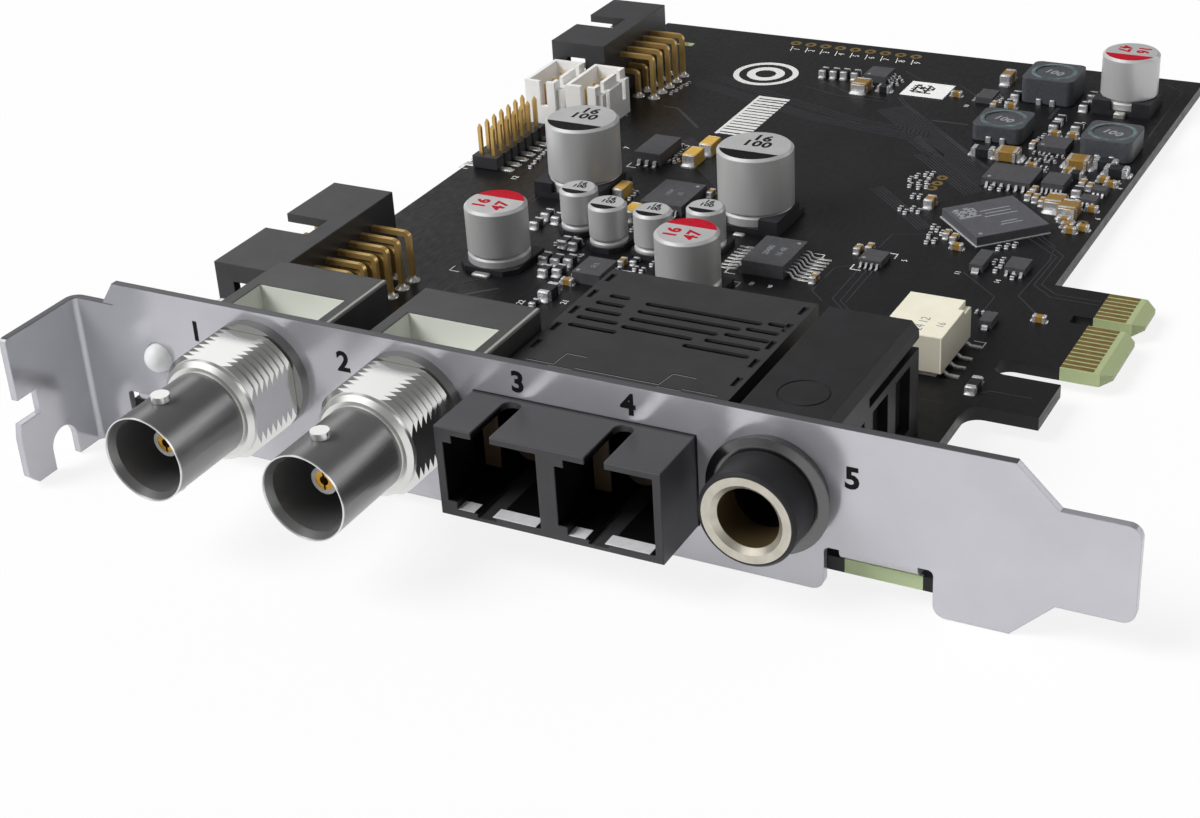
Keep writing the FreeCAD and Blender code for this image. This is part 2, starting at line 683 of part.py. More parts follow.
def makeTransceiver():
    """The optical transceiver: moulded block with two ports, sheet cover, sleeves and optical cans."""
    left = "fibreX - fibreWide / 2"
    nose = box((left, "-fibreFront", "fibreLow"), ("fibreWide", "fibreFront + fibreNoseBack", "fibreTop - fibreLow"))
    tray = box((left + " + coverThick", "fibreNoseBack", "0"),
               ("fibreWide - 2 * coverThick", "fibreBack - coverThick - fibreNoseBack", "fibreTop - coverThick"))
    base = fuse([nose, tray])
    hollow = box((left + " + 1.5", "portDeep - fibreFront + 1", "2"),
                 ("fibreWide - 3", "fibreBack - portDeep + fibreFront - 2.5", "fibreTop"))
    tools = [hollow]
    holes = []
    for side in (-1, 1):
        middle = "fibreX + (%d) * portPitch / 2" % side
        port = box((middle + " - portWide / 2", "-fibreFront - 1", "portLow"),
                   ("portWide", "portDeep + 1", "portTop - portLow"))
        steps = [box((middle + " - portWide / 2", "-fibreFront - 1", low),
                     ("portStepWide", "portDeep + 1", "portStepHigh"))
                 for low in ("portLow", "portTop - portStepHigh")]
        tools.append(cut(port, steps))
        key = middle + " - keySlotShift"
        tools.append(box((key + " - keySlotWide / 2", "-fibreFront - 1", "portTop - 0.5"),
                         ("keySlotWide", "fibreFront + 1 - keySlotBack", "fibreTop - portTop + 1")))
        tools.append(rod((key, "-keySlotBack", "portTop - 0.5"), "keySlotWide / 2", "fibreTop - portTop + 1"))
        tools.append(box((key + " - keySlotWide / 2", "-fibreFront - 1", "portLow - 0.4"),
                         ("keySlotWide", "portDeep + 1", "1")))
        tools.append(rod((middle, "portDeep - fibreFront - 0.5", "fibreZ"), "canRadius", "4", alongY))
        label = "emitter_can" if side < 0 else "detector_can"
        can = rod((middle, "portDeep - fibreFront", "fibreZ"), "canRadius", "canLong", alongY)
        sleeve = rod((middle, "portDeep - fibreFront - sleeveLong", "fibreZ"), "sleeveRadius", "sleeveLong", alongY)
        keep(cut(fuse([can, sleeve]), [rod((middle, "portDeep - fibreFront - sleeveLong - 1", "fibreZ"), "sleeveBore",
                                          "sleeveLong + 1", alongY)]), label)
    inner = box((left + " + 1.7", "portDeep - fibreFront + canLong + 0.3", "2"),
                ("fibreWide - 3.4", "fibreBack - portDeep + fibreFront - canLong - 2.2", "0.8"))
    keep(inner, "transceiver_board")
    pins = []
    for i in range(9):
        x = "fibreX + %g" % (2.54 * (i - 4))
        spot = (x, "fibreBack - 1.9", "-boardThick - pinBelow")
        pins.append(rod(spot, "0.25", "boardThick + pinBelow + 1.5"))
        tools.append(rod((x, "fibreBack - 1.9", "-1"), "0.25", "2.5"))
        holes.append(rod((x, "fibreBack - 1.9", "-boardThick - 1"), "0.25", "boardThick + 2"))
    keep(group(pins), "transceiver_pins")
    keep(cut(base, tools), "transceiver_base")

    shell = box((left, "fibreNoseBack", "fibreLow"), ("fibreWide", "fibreBack - fibreNoseBack", "fibreTop - fibreLow"))
    inside = box((left + " + coverThick", "fibreNoseBack - 1", "-1"),
                 ("fibreWide - 2 * coverThick", "fibreBack - fibreNoseBack + 1 - coverThick",
                  "fibreTop - coverThick + 1"))
    tools = [inside] + ventSlots("fibreTop")
    for i in range(5):
        y = "fibreNoseBack + 3.2 + %g" % (i * 4.3)
        for x in (left + " + 0.5", left + " + fibreWide - 1.2"):
            tools.append(box((x, y, "fibreTop - coverThick - 0.2"), ("0.7", "2.0", "coverThick + 1")))
    keep(cut(shell, tools), "transceiver_cover")
    return holes


def makeJack():
    """The headphone jack: housing with its nose, plated sleeve, ring nut and three contact springs."""
    depth = "jackBack - boardFront"
    block = box(("jackX - jackWide / 2", "boardFront", "0"), ("jackWide", depth, "jackTop"))
    nose = rod(("jackX", "-jackFront + jackNoseBevel", "jackZ"), "jackNoseRadius",
               "jackFront - jackNoseBevel + boardFront", alongY)
    tip = cone(("jackX", "-jackFront", "jackZ"), "jackNoseRadius - jackNoseBevel", "jackNoseRadius",
               "jackNoseBevel", alongY)
    slope = box(("jackX + jackWide / 2 - jackBevel", "boardFront - 1", "jackTop"), ("6", depth + " + 2", "6"))
    slope.Placement = FreeCAD.Placement(Vector(), Rotation(Vector(0, 1, 0), 48))
    bore = rod(("jackX", "-jackFront - 1", "jackZ"), "jackBore", "jackBoreDeep + 1", alongY)
    seat = rod(("jackX", "-jackFront - 1", "jackZ"), "jackSleeveRadius", "jackSleeveLong + 1", alongY)
    ring = cut(rod(("jackX", "8", "jackTop - 0.1"), "2.7", "1"), [rod(("jackX", "8", "jackTop - 0.2"), "2.45", "1.2")])
    slot = box(("jackX + jackWide / 2 - jackSlotDeep", "jackBack - jackSlotLong", "jackTop - jackLidThick - jackSlotHigh"),
               ("jackSlotDeep + 1", "jackSlotLong + 1", "jackSlotHigh"))
    tools = [slope, slot, bore, seat, ring]
    for i in range(3):
        tools.append(box(("jackX + jackWide / 2 - 1.2", "7 + %g" % (i * 6.4), "1.6"), ("2", "4.2", "7.6")))
    springs = []
    holes = []
    for i, (label, y) in enumerate((("sleeve_spring", "5.5"), ("ring_spring", "12.5"), ("tip_spring", "19.5"))):
        side = -1 if i % 2 else 1
        x = "jackX + (%d) * (jackBore + springThick / 2)" % side
        room = box((x + " - springThick / 2 - 0.001", y, "1.4"), ("springThick + 0.002", "springWide", "jackZ + 0.2"))
        leaf = box((x + " - springThick / 2", y, "1.4"), ("springThick", "springWide", "jackZ + 0.2"))
        leg = box((x + " - springThick / 2", "%s + springWide / 2 - 0.4" % y, "-boardThick - pinBelow"),
                  ("springThick", "0.8", "boardThick + pinBelow + 2"))
        way = box((x + " - springThick / 2", "%s + springWide / 2 - 0.4" % y, "-boardThick - 1"),
                  ("springThick", "0.8", "boardThick + 3"))
        tools += [room, way]
        holes.append(way)
        keep(fuse([leaf, leg]), "jack_" + label)
        springs.append(leaf)
    keep(cut(fuse([block, nose, tip]), tools), "jack_housing")
    sleeve = rod(("jackX", "-jackFront", "jackZ"), "jackSleeveRadius", "jackSleeveLong", alongY)
    lip = cone(("jackX", "-jackFront", "jackZ"), "jackBore + jackMouthBevel", "jackBore", "jackMouthBevel",
               alongY)
    passage = rod(("jackX", "-jackFront - 1", "jackZ"), "jackBore", "jackSleeveLong + 2", alongY)
    keep(cut(sleeve, [lip, passage]), "jack_sleeve")
    rim = cone(("jackX", "-jackNutRim", "jackZ"), "jackNutRadius", "jackNutBackRadius", "jackNutRim", alongY)
    taper = cone(("jackX", "-jackNutThick", "jackZ"), "jackNutTopRadius", "jackNutRadius",
                 "jackNutThick - jackNutRim", alongY)
    keep(cut(fuse([rim, taper]), [rod(("jackX", "-jackNutThick - 1", "jackZ"), "jackNoseRadius",
                                      "jackNutThick + 2", alongY)]), "jack_nut")
    return holes


def bentPin(y, rootX, high, tip):
    """A square pin: straight run along X, a rounded bend and a leg down through the board."""
    half = "pinThick / 2"
    low = "%s - %s" % (y, half)
    run = box((tip, low, "%s - %s" % (high, half)),
              ("%s + %s - pinBend - (%s)" % (rootX, half, tip), "pinThick", "pinThick"))
    leg = box(("%s - %s" % (rootX, half), low, "-boardThick - pinBelow"),
              ("pinThick", "pinThick", "boardThick + pinBelow + %s + %s - pinBend" % (high, half)))
    turn = Rotation(Vector(0, 0, 1), Vector(1, 0, 0), Vector(0, 1, 0), "XYZ")
    spot = ("%s + %s - pinBend" % (rootX, half), low, "%s + %s - pinBend" % (high, half))
    outer = rod(spot, "pinBend", "pinThick", turn)
    inner = rod(spot, "pinBend - pinThick", "pinThick", turn)
    for item in (outer, inner):
        item.Angle = 90
    return fuse([run, leg, cut(outer, [inner])])


def makeHeader(name, firstY, columns):
    """A right-angle cable header: keyed shroud and two rows of bent pins."""
    nearEnd = "%s - headerOverhang" % firstY
    long = "%d * headerPitch + 2 * headerOverhang" % (columns - 1)
    deep = "headerBack - headerLeft"
    shroud = box(("headerLeft", nearEnd, "0"), (deep, long, "headerTop"))
    cavity = box(("headerLeft - 1", nearEnd + " + headerWall", "headerWall"),
                 (deep + " - 2 * headerWall + 1", long + " - 2 * headerWall", "headerTop - 2 * headerWall"))
    key = box(("headerLeft - 1", nearEnd + " + (%s - headerKeyWide) / 2" % long, "headerTop - headerWall - 1"),
              ("headerKeyDeep + 1", "headerKeyWide", "headerWall + 2"))
    windows = box(("headerLeft + 2.5", nearEnd + " - 1", "(headerTop - headerWindowHigh) / 2"),
                  ("headerWindowWide", long + " + 2", "headerWindowHigh"))
    pins = []
    ways = []
    holes = []
    for column in range(columns):
        y = "%s + %d * headerPitch" % (firstY, column)
        for row in range(2):
            rootX = "headerRootX - %d * headerPitch" % row
            high = "headerPinZ - %d * headerPitch" % row
            pins.append(bentPin(y, rootX, high, "headerLeft + 2"))
            ways.append(box(("headerLeft + 2", "%s - pinThick / 2" % y, "%s - pinThick / 2" % high),
                            (deep, "pinThick", "pinThick")))
            holes.append(box((rootX + " - pinThick / 2", "%s - pinThick / 2" % y, "-boardThick - 1"),
                             ("pinThick", "pinThick", "boardThick + 2")))
    keep(cut(shroud, [cavity, key, windows] + ways), name + "_header")
    keep(group(pins), name + "_header_pins")
    return holes


def makeWhiteHeader(i, name):
    """An upright wire-to-board header: open box with slots and a ribbed wall, and three pins."""
    x = "whiteX + %d * whiteStep" % i
    body = box((x, "whiteY", "0"), ("whiteWide", "whiteLong", "whiteHigh"))
    rib = box((x + " + whiteWide", "whiteY + 0.5", "0"), ("whiteRib", "whiteLong - 1", "whiteHigh - 1.2"))
    tools = [box((x + " + whiteWall", "whiteY + whiteWall", "whiteFloor"),
                 ("whiteWide - 2 * whiteWall", "whiteLong - 2 * whiteWall", "whiteHigh")),
             box((x + " + whiteWide / 2", "whiteY - 1", "whiteFloor + 1.6"),
                 ("whiteSlot", "whiteWall + 2", "whiteHigh"))]
    for y in ("whiteY + 1.6", "whiteY + whiteLong - 1.6 - whiteSlot"):
        tools.append(box((x + " + whiteWide - whiteWall - 1", y, "whiteFloor + 1.2"),
                         ("whiteWall + whiteRib + 2", "whiteSlot", "whiteHigh")))
    pins = []
    holes = []
    for step in range(3):
        middle = (x + " + whiteWide / 2", "whiteY + whiteLong / 2 + (%d) * whitePitch" % (step - 1))
        pins.append(blockAt(middle[0], middle[1], "-boardThick - pinBelow", "pinThick", "pinThick",
                            "boardThick + pinBelow + whitePinHigh"))
        holes.append(blockAt(middle[0], middle[1], "-boardThick - 1", "pinThick", "pinThick", "boardThick + 2"))
        tools.append(blockAt(middle[0], middle[1], "-1", "pinThick", "pinThick", "whiteFloor + 2"))
    keep(cut(fuse([body, rib]), tools), name + "_wire_header")
    keep(group(pins), name + "_wire_pins")
    return holes


def makeStrip():
    """The two-row strip: a notched block and fourteen pins that end in flat feet."""
    long = "7 * stripPitch"
    wide = "2 * stripPitch"
    body = blockAt("stripX", "stripY + 3 * stripPitch", "chipGap", wide, long, "stripHigh - chipGap")
    tools = []
    pins = []
    for i in range(7):
        y = "stripY + %d * stripPitch" % i
        for side in (-1, 1):
            x = "stripX + (%d) * stripPitch / 2" % side
            post = blockAt(x, y, "0", "stripPin", "stripPin", "stripTip - 0.5")
            point = doc.addObject("Part::Wedge", "point")
            for cell, text in (("Xmin", "0"), ("Ymin", "0"), ("Zmin", "0"), ("Xmax", "stripPin"), ("Ymax", "0.5"),
                               ("Zmax", "stripPin"), ("X2min", "stripPin / 2 - 0.08"), ("Z2min", "stripPin / 2 - 0.08"),
                               ("X2max", "stripPin / 2 + 0.08"), ("Z2max", "stripPin / 2 + 0.08")):
                point.setExpression(cell, words(text))
            place(point, (x + " - stripPin / 2", y + " + stripPin / 2", "stripTip - 0.5"), Rotation(Vector(1, 0, 0), 90))
            footX = "stripX + (%d) * (stripPitch + stripFoot / 2 - 0.5)" % side
            foot = blockAt(footX, y, "0", "stripFoot + 1", "stripPin", "chipGap + 0.2")
            pins.append(fuse([post, point, foot]))
            tools += [blockAt(x, y, "0", "stripPin", "stripPin", "stripHigh + 1"),
                      blockAt(footX, y, "0", "stripFoot + 1", "stripPin", "chipGap + 0.2")]
        if i:
            for x in ("stripX - stripPitch", "stripX + stripPitch"):
                notch = box((x + " - stripNotch / 1.414", y + " - stripPitch / 2", "0"),
                            ("stripNotch", "stripNotch", "stripHigh + 1"))
                notch.Placement = FreeCAD.Placement(Vector(), Rotation(Vector(0, 0, 1), -45))
                tools.append(notch)
    keep(cut(body, tools), "pin_strip")
    keep(group(pins), "pin_strip_pins")


def makeCapacitor(name, kind, x, y, plus, raised):
    """An electrolytic capacitor: drawn can with a groove above its foot, on a moulded seat."""
    radius = kind + "Radius"
    top = kind + "Top"
    side = kind + "Seat"
    foot = "seatHigh"
    neck = kind + "Neck"
    pieces = [
        rod((x, y, foot), radius, neck + " - canGroove * 2"),
        cone((x, y, "%s + %s - canGroove * 2" % (foot, neck)), radius, radius + " - canGroove", "canGroove"),
        cone((x, y, "%s + %s - canGroove" % (foot, neck)), radius + " - canGroove", radius, "canGroove"),
        rod((x, y, "%s + %s" % (foot, neck)), radius, "%s - %s - %s - canRim" % (top, foot, neck)),
        cone((x, y, "%s - canRim" % top), radius, radius + " - canRim", "canRim"),
    ]
    keep(fuse(pieces), name + "_can")
    seat = blockAt(x, y, "0", side, side, foot)
    corners = []
    for a in (1, -1):
        wedge = blockAt(x, y, "0", "2", "2", "postHigh + 2")
        wedge.Placement = FreeCAD.Placement(Vector(), Rotation(Vector(0, 0, 1), 45))
        place(wedge, ("%s + (%d) * %s / 2" % (x, a, side), "%s + (%d) * %s / 2 - 1.414" % (y, plus, side), "-1"))
        corners.append(wedge)
    if raised:
        bars = [box(("%s + (%d) * %s / 2 - (%s)" % (x, a, side, "barWide" if a > 0 else "0"),
                     "%s - %s / 2" % (y, side), "0"), ("barWide", kind + "Bar", "postHigh")) for a in (-1, 1)]
        base = cut(fuse([seat] + bars), corners + [rod((x, y, foot), radius, "postHigh")])
    else:
        base = cut(seat, corners)
    keep(base, name + "_seat")


def makeCoil(name, x, y, side, high):
    """A moulded power inductor: a block with rounded corners and a shallow round well on top."""
    body = doc.addObject("PartDesign::Body", name + "_body")
    block = body.newObject("PartDesign::AdditiveBox", name + "_block")
    block.Length = side
    block.Width = side
    bind(block, Height="%g - chipGap" % high)
    block.Placement = FreeCAD.Placement(Vector(x - side / 2, y - side / 2, number("chipGap")), Rotation())
    doc.recompute()
    spots = [(x + a * side / 2, y + b * side / 2) for a in (-1, 1) for b in (-1, 1)]
    roundEdges(body, spots, "coilRound", "xy")
    well = rod((x, y, "%g - coilWellDeep" % high), "coilWellRadius", "1")
    foot = [blockAt(x, "%g + (%d) * %g" % (y, b, side / 2 - 0.8), "0", side / 2.5, 1.2, "chipGap") for b in (-1, 1)]
    return keep(fuse([cut(body, [well])] + foot), name)


def makeChips():
    """The main chip stands turned by an eighth of a turn; the others are square to the board."""
    main = blockAt("0", "0", "0", "mainChipSide", "mainChipSide", "mainChipHigh")
    turn = Rotation(Vector(0, 0, 1), 45)
    main.Placement = FreeCAD.Placement(Vector(), turn)
    place(main, ("mainChipX", "mainChipY - mainChipSide * 0.70711", "0"))
    keep(main, "main_chip")
    keep(group([blockAt(x, y, "0", wide, deep, high) for x, y, wide, deep, high in chipPlaces]), "surface_chips")
    keep(group([blockAt(x, y, "0", wide, deep, high) for x, y, wide, deep, high in smallPlaces]), "chip_passives")
    block = blockAt("relayX", "relayY", "relayGap", "relayWide", "relayLong", "relayHigh - relayGap")
    feet = [blockAt("relayX", "relayY + (%d) * (relayLong / 2 - 1.1)" % side, "0", "relayWide - 1.6", "1", "relayGap + 0.5")
            for side in (-1, 1)]
    step = box(("relayX + relayWide / 2 - relayStep", "relayY + relayLong / 2 - 2.4", "relayHigh - relayStep"),
               ("relayStep + 1", "3", "relayStep + 1"))
    keep(cut(fuse([block] + feet), [step]), "relay")


def makeAll():
    holes = []
    for i, name in enumerate(("coax_in", "coax_out")):
        holes += makeCoax(i, name)
    holes += makeTransceiver()
    holes += makeJack()
    holes += makeHeader("front", "frontHeaderY", 7)
    holes += makeHeader("rear", "rearHeaderY", 5)
    for i, name in enumerate(("left", "right")):
        holes += makeWhiteHeader(i, name)
    makeStrip()
    counts = {}
    for kind, x, y, plus, raised in capPlaces:
        counts[kind] = counts.get(kind, 0) + 1
        makeCapacitor("%s_capacitor_%d" % (kind, counts[kind]), kind, x, y, plus, raised)
    for i, (x, y, side, high) in enumerate(coilPlaces, start=1):
        makeCoil("power_coil_%d" % i, x, y, side, high)
    makeChips()
    makeContacts()
    makeScrews()
    makeLamp()
    for middle in ("neckEnd + tabOpening / 2", "rightTabStart + tabOpening / 2"):
        holes.append(rod((middle, "screwY", "-boardThick - 1"), "screwRadius", "boardThick + 2"))
    makeBoard(holes)
    makeBracket(panelOpenings())


makeAll()
doc.recompute()

faulty = [item.Name for item in doc.Objects if "Invalid" in item.State or "Error" in item.State]
for item in subparts:
    if item.Shape.isNull() or not item.Shape.isValid():
        faulty.append(item.Label)
if faulty:
    raise RuntimeError("faulty objects: " + ", ".join(faulty))

os.makedirs("parts", exist_ok=True)
for item in subparts:
    item.Shape.exportStep("parts/" + item.Label + ".step")
print(len(subparts), "sub-parts written")
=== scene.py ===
import json
import math

import bpy
import numpy as np
from mathutils import Matrix, Vector

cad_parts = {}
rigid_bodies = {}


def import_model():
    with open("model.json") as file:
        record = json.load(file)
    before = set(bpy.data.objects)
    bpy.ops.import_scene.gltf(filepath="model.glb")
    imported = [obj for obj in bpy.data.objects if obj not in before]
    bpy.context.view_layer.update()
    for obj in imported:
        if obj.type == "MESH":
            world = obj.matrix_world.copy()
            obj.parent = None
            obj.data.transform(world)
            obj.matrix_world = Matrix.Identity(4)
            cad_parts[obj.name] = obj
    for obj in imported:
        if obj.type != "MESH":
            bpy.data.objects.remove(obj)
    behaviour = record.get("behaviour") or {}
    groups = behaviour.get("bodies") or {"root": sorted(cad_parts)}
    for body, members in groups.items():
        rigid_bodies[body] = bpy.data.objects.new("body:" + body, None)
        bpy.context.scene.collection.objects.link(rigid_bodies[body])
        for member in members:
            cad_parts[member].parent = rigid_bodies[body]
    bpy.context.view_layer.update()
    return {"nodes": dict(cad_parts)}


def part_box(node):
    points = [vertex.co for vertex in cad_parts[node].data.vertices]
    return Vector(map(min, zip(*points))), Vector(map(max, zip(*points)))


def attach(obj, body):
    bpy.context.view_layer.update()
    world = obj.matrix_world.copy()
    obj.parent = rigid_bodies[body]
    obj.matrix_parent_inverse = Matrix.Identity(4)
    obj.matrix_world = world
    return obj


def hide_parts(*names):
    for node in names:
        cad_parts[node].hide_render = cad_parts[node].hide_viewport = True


for thing in list(bpy.data.objects):
    bpy.data.objects.remove(thing, do_unlink=True)

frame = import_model()
mm = 0.001  # every size below is written in millimetres
print("frame loaded")


# colours and nodes

def hexLinear(code):
    # an sRGB hex value turned to linear light, as the shaders want it
    parts = [int(code[i:i + 2], 16) / 255 for i in (1, 3, 5)]
    return tuple(p / 12.92 if p <= 0.04045 else ((p + 0.055) / 1.055) ** 2.4 for p in parts) + (1.0,)


def addNode(tree, kind, inputs=(), **settings):
    # one shader node; an input, by name or number, is a value, a socket, or a node whose first output feeds it
    node = tree.nodes.new("ShaderNode" + kind)
    for key, value in settings.items():
        setattr(node, key, value)
    for key, value in inputs.items() if isinstance(inputs, dict) else enumerate(inputs):
        source = value.outputs[0] if isinstance(value, bpy.types.Node) else value
        if isinstance(source, bpy.types.NodeSocket):
            tree.links.new(source, node.inputs[key])
        else:
            node.inputs[key].default_value = source
    return node


def emptyTree(owner):
    # the node tree of a material or a world, with nothing in it
    owner.use_nodes = True
    owner.node_tree.nodes.clear()
    return owner.node_tree


materials, finishParts = {}, {}
noiseLow, noiseHigh = 0.3, 0.7  # nearly all values of a noise texture lie between these
bumpDepth = 0.02  # millimetres


def surface(name, dark, light, grain, rough, fineGrain=0.3, detail=3.0, stretch=(1, 1, 1), roughSpread=0.06,
            metal=0.0, bump=0.1, edge=0.0, spec=0.35, ior=1.5, coat=0.0, clear=0.0):
    # a finish: two near tones laid over each other by a noise of a real grain size, a roughness that wanders
    # a little, a fine bump, and edges that catch the light where the real ones are rolled or worn
    materials[name] = bpy.data.materials.new(name)
    tree = emptyTree(materials[name])
    place = addNode(tree, "TexCoord").outputs["Object"]
    mapping = addNode(tree, "Mapping", {"Vector": place, "Scale": stretch})
    broad = addNode(tree, "TexNoise", {"Vector": mapping, "Scale": 1 / (grain * mm), "Detail": detail})
    fine = addNode(tree, "TexNoise", {"Vector": mapping, "Scale": 1 / (fineGrain * mm), "Detail": 2.0})
    ramp = addNode(tree, "MapRange", {"Value": broad, "From Min": noiseLow, "From Max": noiseHigh})
    tone = addNode(tree, "Mix", {0: ramp, 6: hexLinear(dark), 7: hexLinear(light)}, data_type="RGBA").outputs[2]
    roughness = addNode(tree, "MapRange", {"Value": fine, "From Min": noiseLow, "From Max": noiseHigh,
                                           "To Min": rough - roughSpread, "To Max": rough + roughSpread}).outputs[0]
    relief = addNode(tree, "Bump", {"Height": fine, "Strength": bump, "Distance": bumpDepth * mm})
    if edge:
        bevel = addNode(tree, "Bevel", {"Radius": edge * mm}, samples=4)
        tree.links.new(bevel.outputs[0], relief.inputs["Normal"])
    sheen = {} if metal else {"IOR": ior, "Specular IOR Level": spec}
    shader = addNode(tree, "BsdfPrincipled", {
        "Base Color": tone, "Roughness": roughness, "Normal": relief, "Metallic": metal, "Coat Weight": coat,
        "Coat Roughness": 0.1, "Transmission Weight": clear, **sheen})
    addNode(tree, "OutputMaterial", {"Surface": shader})
    finishParts[name] = {"tree": tree, "place": place, "tone": tone, "roughness": roughness, "shader": shader}


def zoneTone(name, zones):
    # lays plain tones over a finish inside boxes given in millimetres, each as (low corner, high corner, hex),
    # with the metal share and the roughness after them where those differ too
    parts = finishParts[name]
    tree, shader = parts["tree"], parts["shader"]
    inMm = addNode(tree, "VectorMath", {0: parts["place"], "Scale": 1 / mm}, operation="SCALE")
    current = {"Base Color": parts["tone"], "Roughness": parts["roughness"]}
    for low, high, code, *more in zones:
        middle = [(a + b) / 2 for a, b in zip(low, high)]
        half = [(b - a) / 2 for a, b in zip(low, high)]
        shift = addNode(tree, "VectorMath", [inMm, middle], operation="SUBTRACT")
        size = addNode(tree, "VectorMath", [shift], operation="ABSOLUTE")
        axes = addNode(tree, "SeparateXYZ", [addNode(tree, "VectorMath", [size, half], operation="DIVIDE")]).outputs
        twoMax = addNode(tree, "Math", [axes[0], axes[1]], operation="MAXIMUM")
        allMax = addNode(tree, "Math", [twoMax, axes[2]], operation="MAXIMUM")
        inside = addNode(tree, "Math", [allMax, 1.0], operation="LESS_THAN")
        current["Base Color"] = addNode(tree, "Mix", {0: inside, 6: current["Base Color"], 7: hexLinear(code)},
                                        data_type="RGBA").outputs[2]
        for socket, value in zip(("Metallic", "Roughness"), more):
            before = current.get(socket, shader.inputs[socket].default_value)
            current[socket] = addNode(tree, "Mix", {0: inside, 2: before, 3: value}, data_type="FLOAT").outputs[0]
    for socket, source in current.items():
        tree.links.new(source, shader.inputs[socket])


# each finish is named for the real stuff: its two tones, grain in millimetres and roughness

# solder mask, printed and cured over copper: satin black, with the glass weave just showing through
surface("solderMask", "#121214", "#18181a", 6.0, 0.4, fineGrain=0.6, bump=0.05, stretch=(1, 0.35, 1), spec=0.3)
# solder mask over a copper track: the same film, paler because the copper pushes it up
surface("maskedTrack", "#303034", "#3a3a3e", 3.0, 0.36, fineGrain=0.4, spec=0.3)
# hard gold over nickel, plated on copper: brownish where it is thin
surface("goldPlate", "#9d8449", "#b4985c", 1.0, 0.36, metal=0.75, bump=0.05)
# mild steel sheet, folded and bright nickel plated: pale, nearly a mirror, with bright rolled edges
surface("platedSheet", "#bcbcc2", "#c4c4ca", 9.0, 0.2, fineGrain=1.5, roughSpread=0.03, metal=0.6, bump=0.02,
        edge=0.16)
# zinc plated steel screws: pale grey, a little dull
surface("zincScrew", "#9a9a9c", "#b0b0b4", 0.8, 0.34, metal=1.0, edge=0.1)
# acrylic lamp body with a milky core: lets light through and glows white
surface("clearAcrylic", "#f6f8f8", "#ffffff", 2.0, 0.12, roughSpread=0.04, clear=0.3, ior=1.49, spec=0.5)
# turned brass with dull nickel plating: dark grey barrel
surface("turnedNickel", "#818181", "#898989", 2.5, 0.3, detail=1.0, stretch=(1, 0.2, 1), roughSpread=0.02,
        metal=0.65, bump=0.0)
# gold plated socket contact: deep yellow and bright
surface("socketGold", "#b98a34", "#dba849", 0.6, 0.24, metal=0.9, bump=0.03)
# moulded PTFE insulator: white and waxy
surface("whitePtfe", "#b6b6b2", "#c4c4c0", 0.8, 0.4, ior=1.35)
# die-cast zinc housing, painted mid grey, with rounded edges that catch the light
surface("greyCasting", "#404040", "#484848", 4.0, 0.36, fineGrain=0.25, bump=0.08, edge=0.3, spec=0.3)
# glass-filled nylon moulding, black: satin, fine spark-eroded texture
surface("blackNylon", "#353537", "#3c3c3e", 3.0, 0.36, fineGrain=0.15, bump=0.06, edge=0.22, spec=0.3)
# PBT jack moulding, black and finer
surface("blackPbt", "#262627", "#2c2c2e", 3.0, 0.42, fineGrain=0.12, bump=0.08, edge=0.15, spec=0.2)
# moulded ring nut, black and polished by its tool: glossy lights round its slope
surface("glossNylon", "#0b0b0c", "#101011", 2.0, 0.17, fineGrain=0.2, bump=0.02, edge=0.25, spec=0.8, ior=1.8)
# conductive painted steel cover, dark grey: satin with a sandy grain
surface("paintedCover", "#353536", "#3b3b3c", 3.0, 0.5, fineGrain=0.18, edge=0.08, spec=0.2)
# dark brown moulded sleeve of the optical cans
surface("brownSleeve", "#2b1e11", "#372716", 1.0, 0.35)
# small inner circuit board, dark green mask
surface("innerBoard", "#13261b", "#183022", 1.5, 0.4)
# stamped phosphor bronze, tin plated: silver with a warm cast
surface("springMetal", "#bcb7aa", "#cac5b9", 1.2, 0.34, metal=0.8)
# drawn brass pins, thin gold plating: warm and dull
surface("pinGold", "#cba763", "#d6b36e", 4.0, 0.3, fineGrain=1.0, detail=0.5, roughSpread=0.01, metal=0.6, bump=0.0)
# natural nylon wire header: milky white
surface("whiteNylon", "#f3f2ef", "#f9f8f6", 2.5, 0.45, bump=0.06, edge=0.1)
# deep-drawn aluminium can, lacquered: soft sheen round the wall
surface("drawnAluminium", "#c8c8c8", "#d2d2d2", 3.0, 0.36, fineGrain=0.4, stretch=(1, 1, 0.15), roughSpread=0.02,
        metal=0.35, bump=0.02, edge=0.15)
# capacitor seat, black PPS moulding
surface("seatMoulding", "#2a2a2d", "#333336", 1.5, 0.5, edge=0.08, spec=0.2)
# pressed ferrite powder with a dark coat: grey, granular
surface("pressedFerrite", "#45474c", "#515358", 0.5, 0.42, fineGrain=0.12, bump=0.12, edge=0.25)
# epoxy moulding compound of chip packages: matt charcoal
surface("chipResin", "#49494c", "#525255", 0.8, 0.55, fineGrain=0.1, bump=0.15, edge=0.08, spec=0.25)
# the main chip's resin is ground flat: paler, with a finer grain
surface("groundResin", "#545458", "#5b5b5f", 1.2, 0.5, fineGrain=0.1, edge=0.08, spec=0.3)
# relay case, cream PBT
surface("creamPbt", "#f1ecd6", "#f7f3e0", 2.0, 0.42, edge=0.12)
# barium titanate ceramic of chip capacitors: tan, slightly glossy
surface("tanCeramic", "#8c6b30", "#a17f40", 0.4, 0.4)
# darker, browner ceramic of the chip capacitors with thick layers
surface("brownCeramic", "#876730", "#9a7a42", 0.4, 0.4)
# dark ceramic of chip resistors and larger chip capacitors
surface("darkCeramic", "#232426", "#303133", 0.4, 0.42, spec=0.25)
# tantalum capacitor resin, yellow
surface("yellowResin", "#d3a94c", "#e0b860", 0.6, 0.45, edge=0.08)
# tin plating on end caps and leads: bright silver
surface("tinPlate", "#d2d2d4", "#e6e6e8", 0.4, 0.28, metal=0.6, bump=0.05)
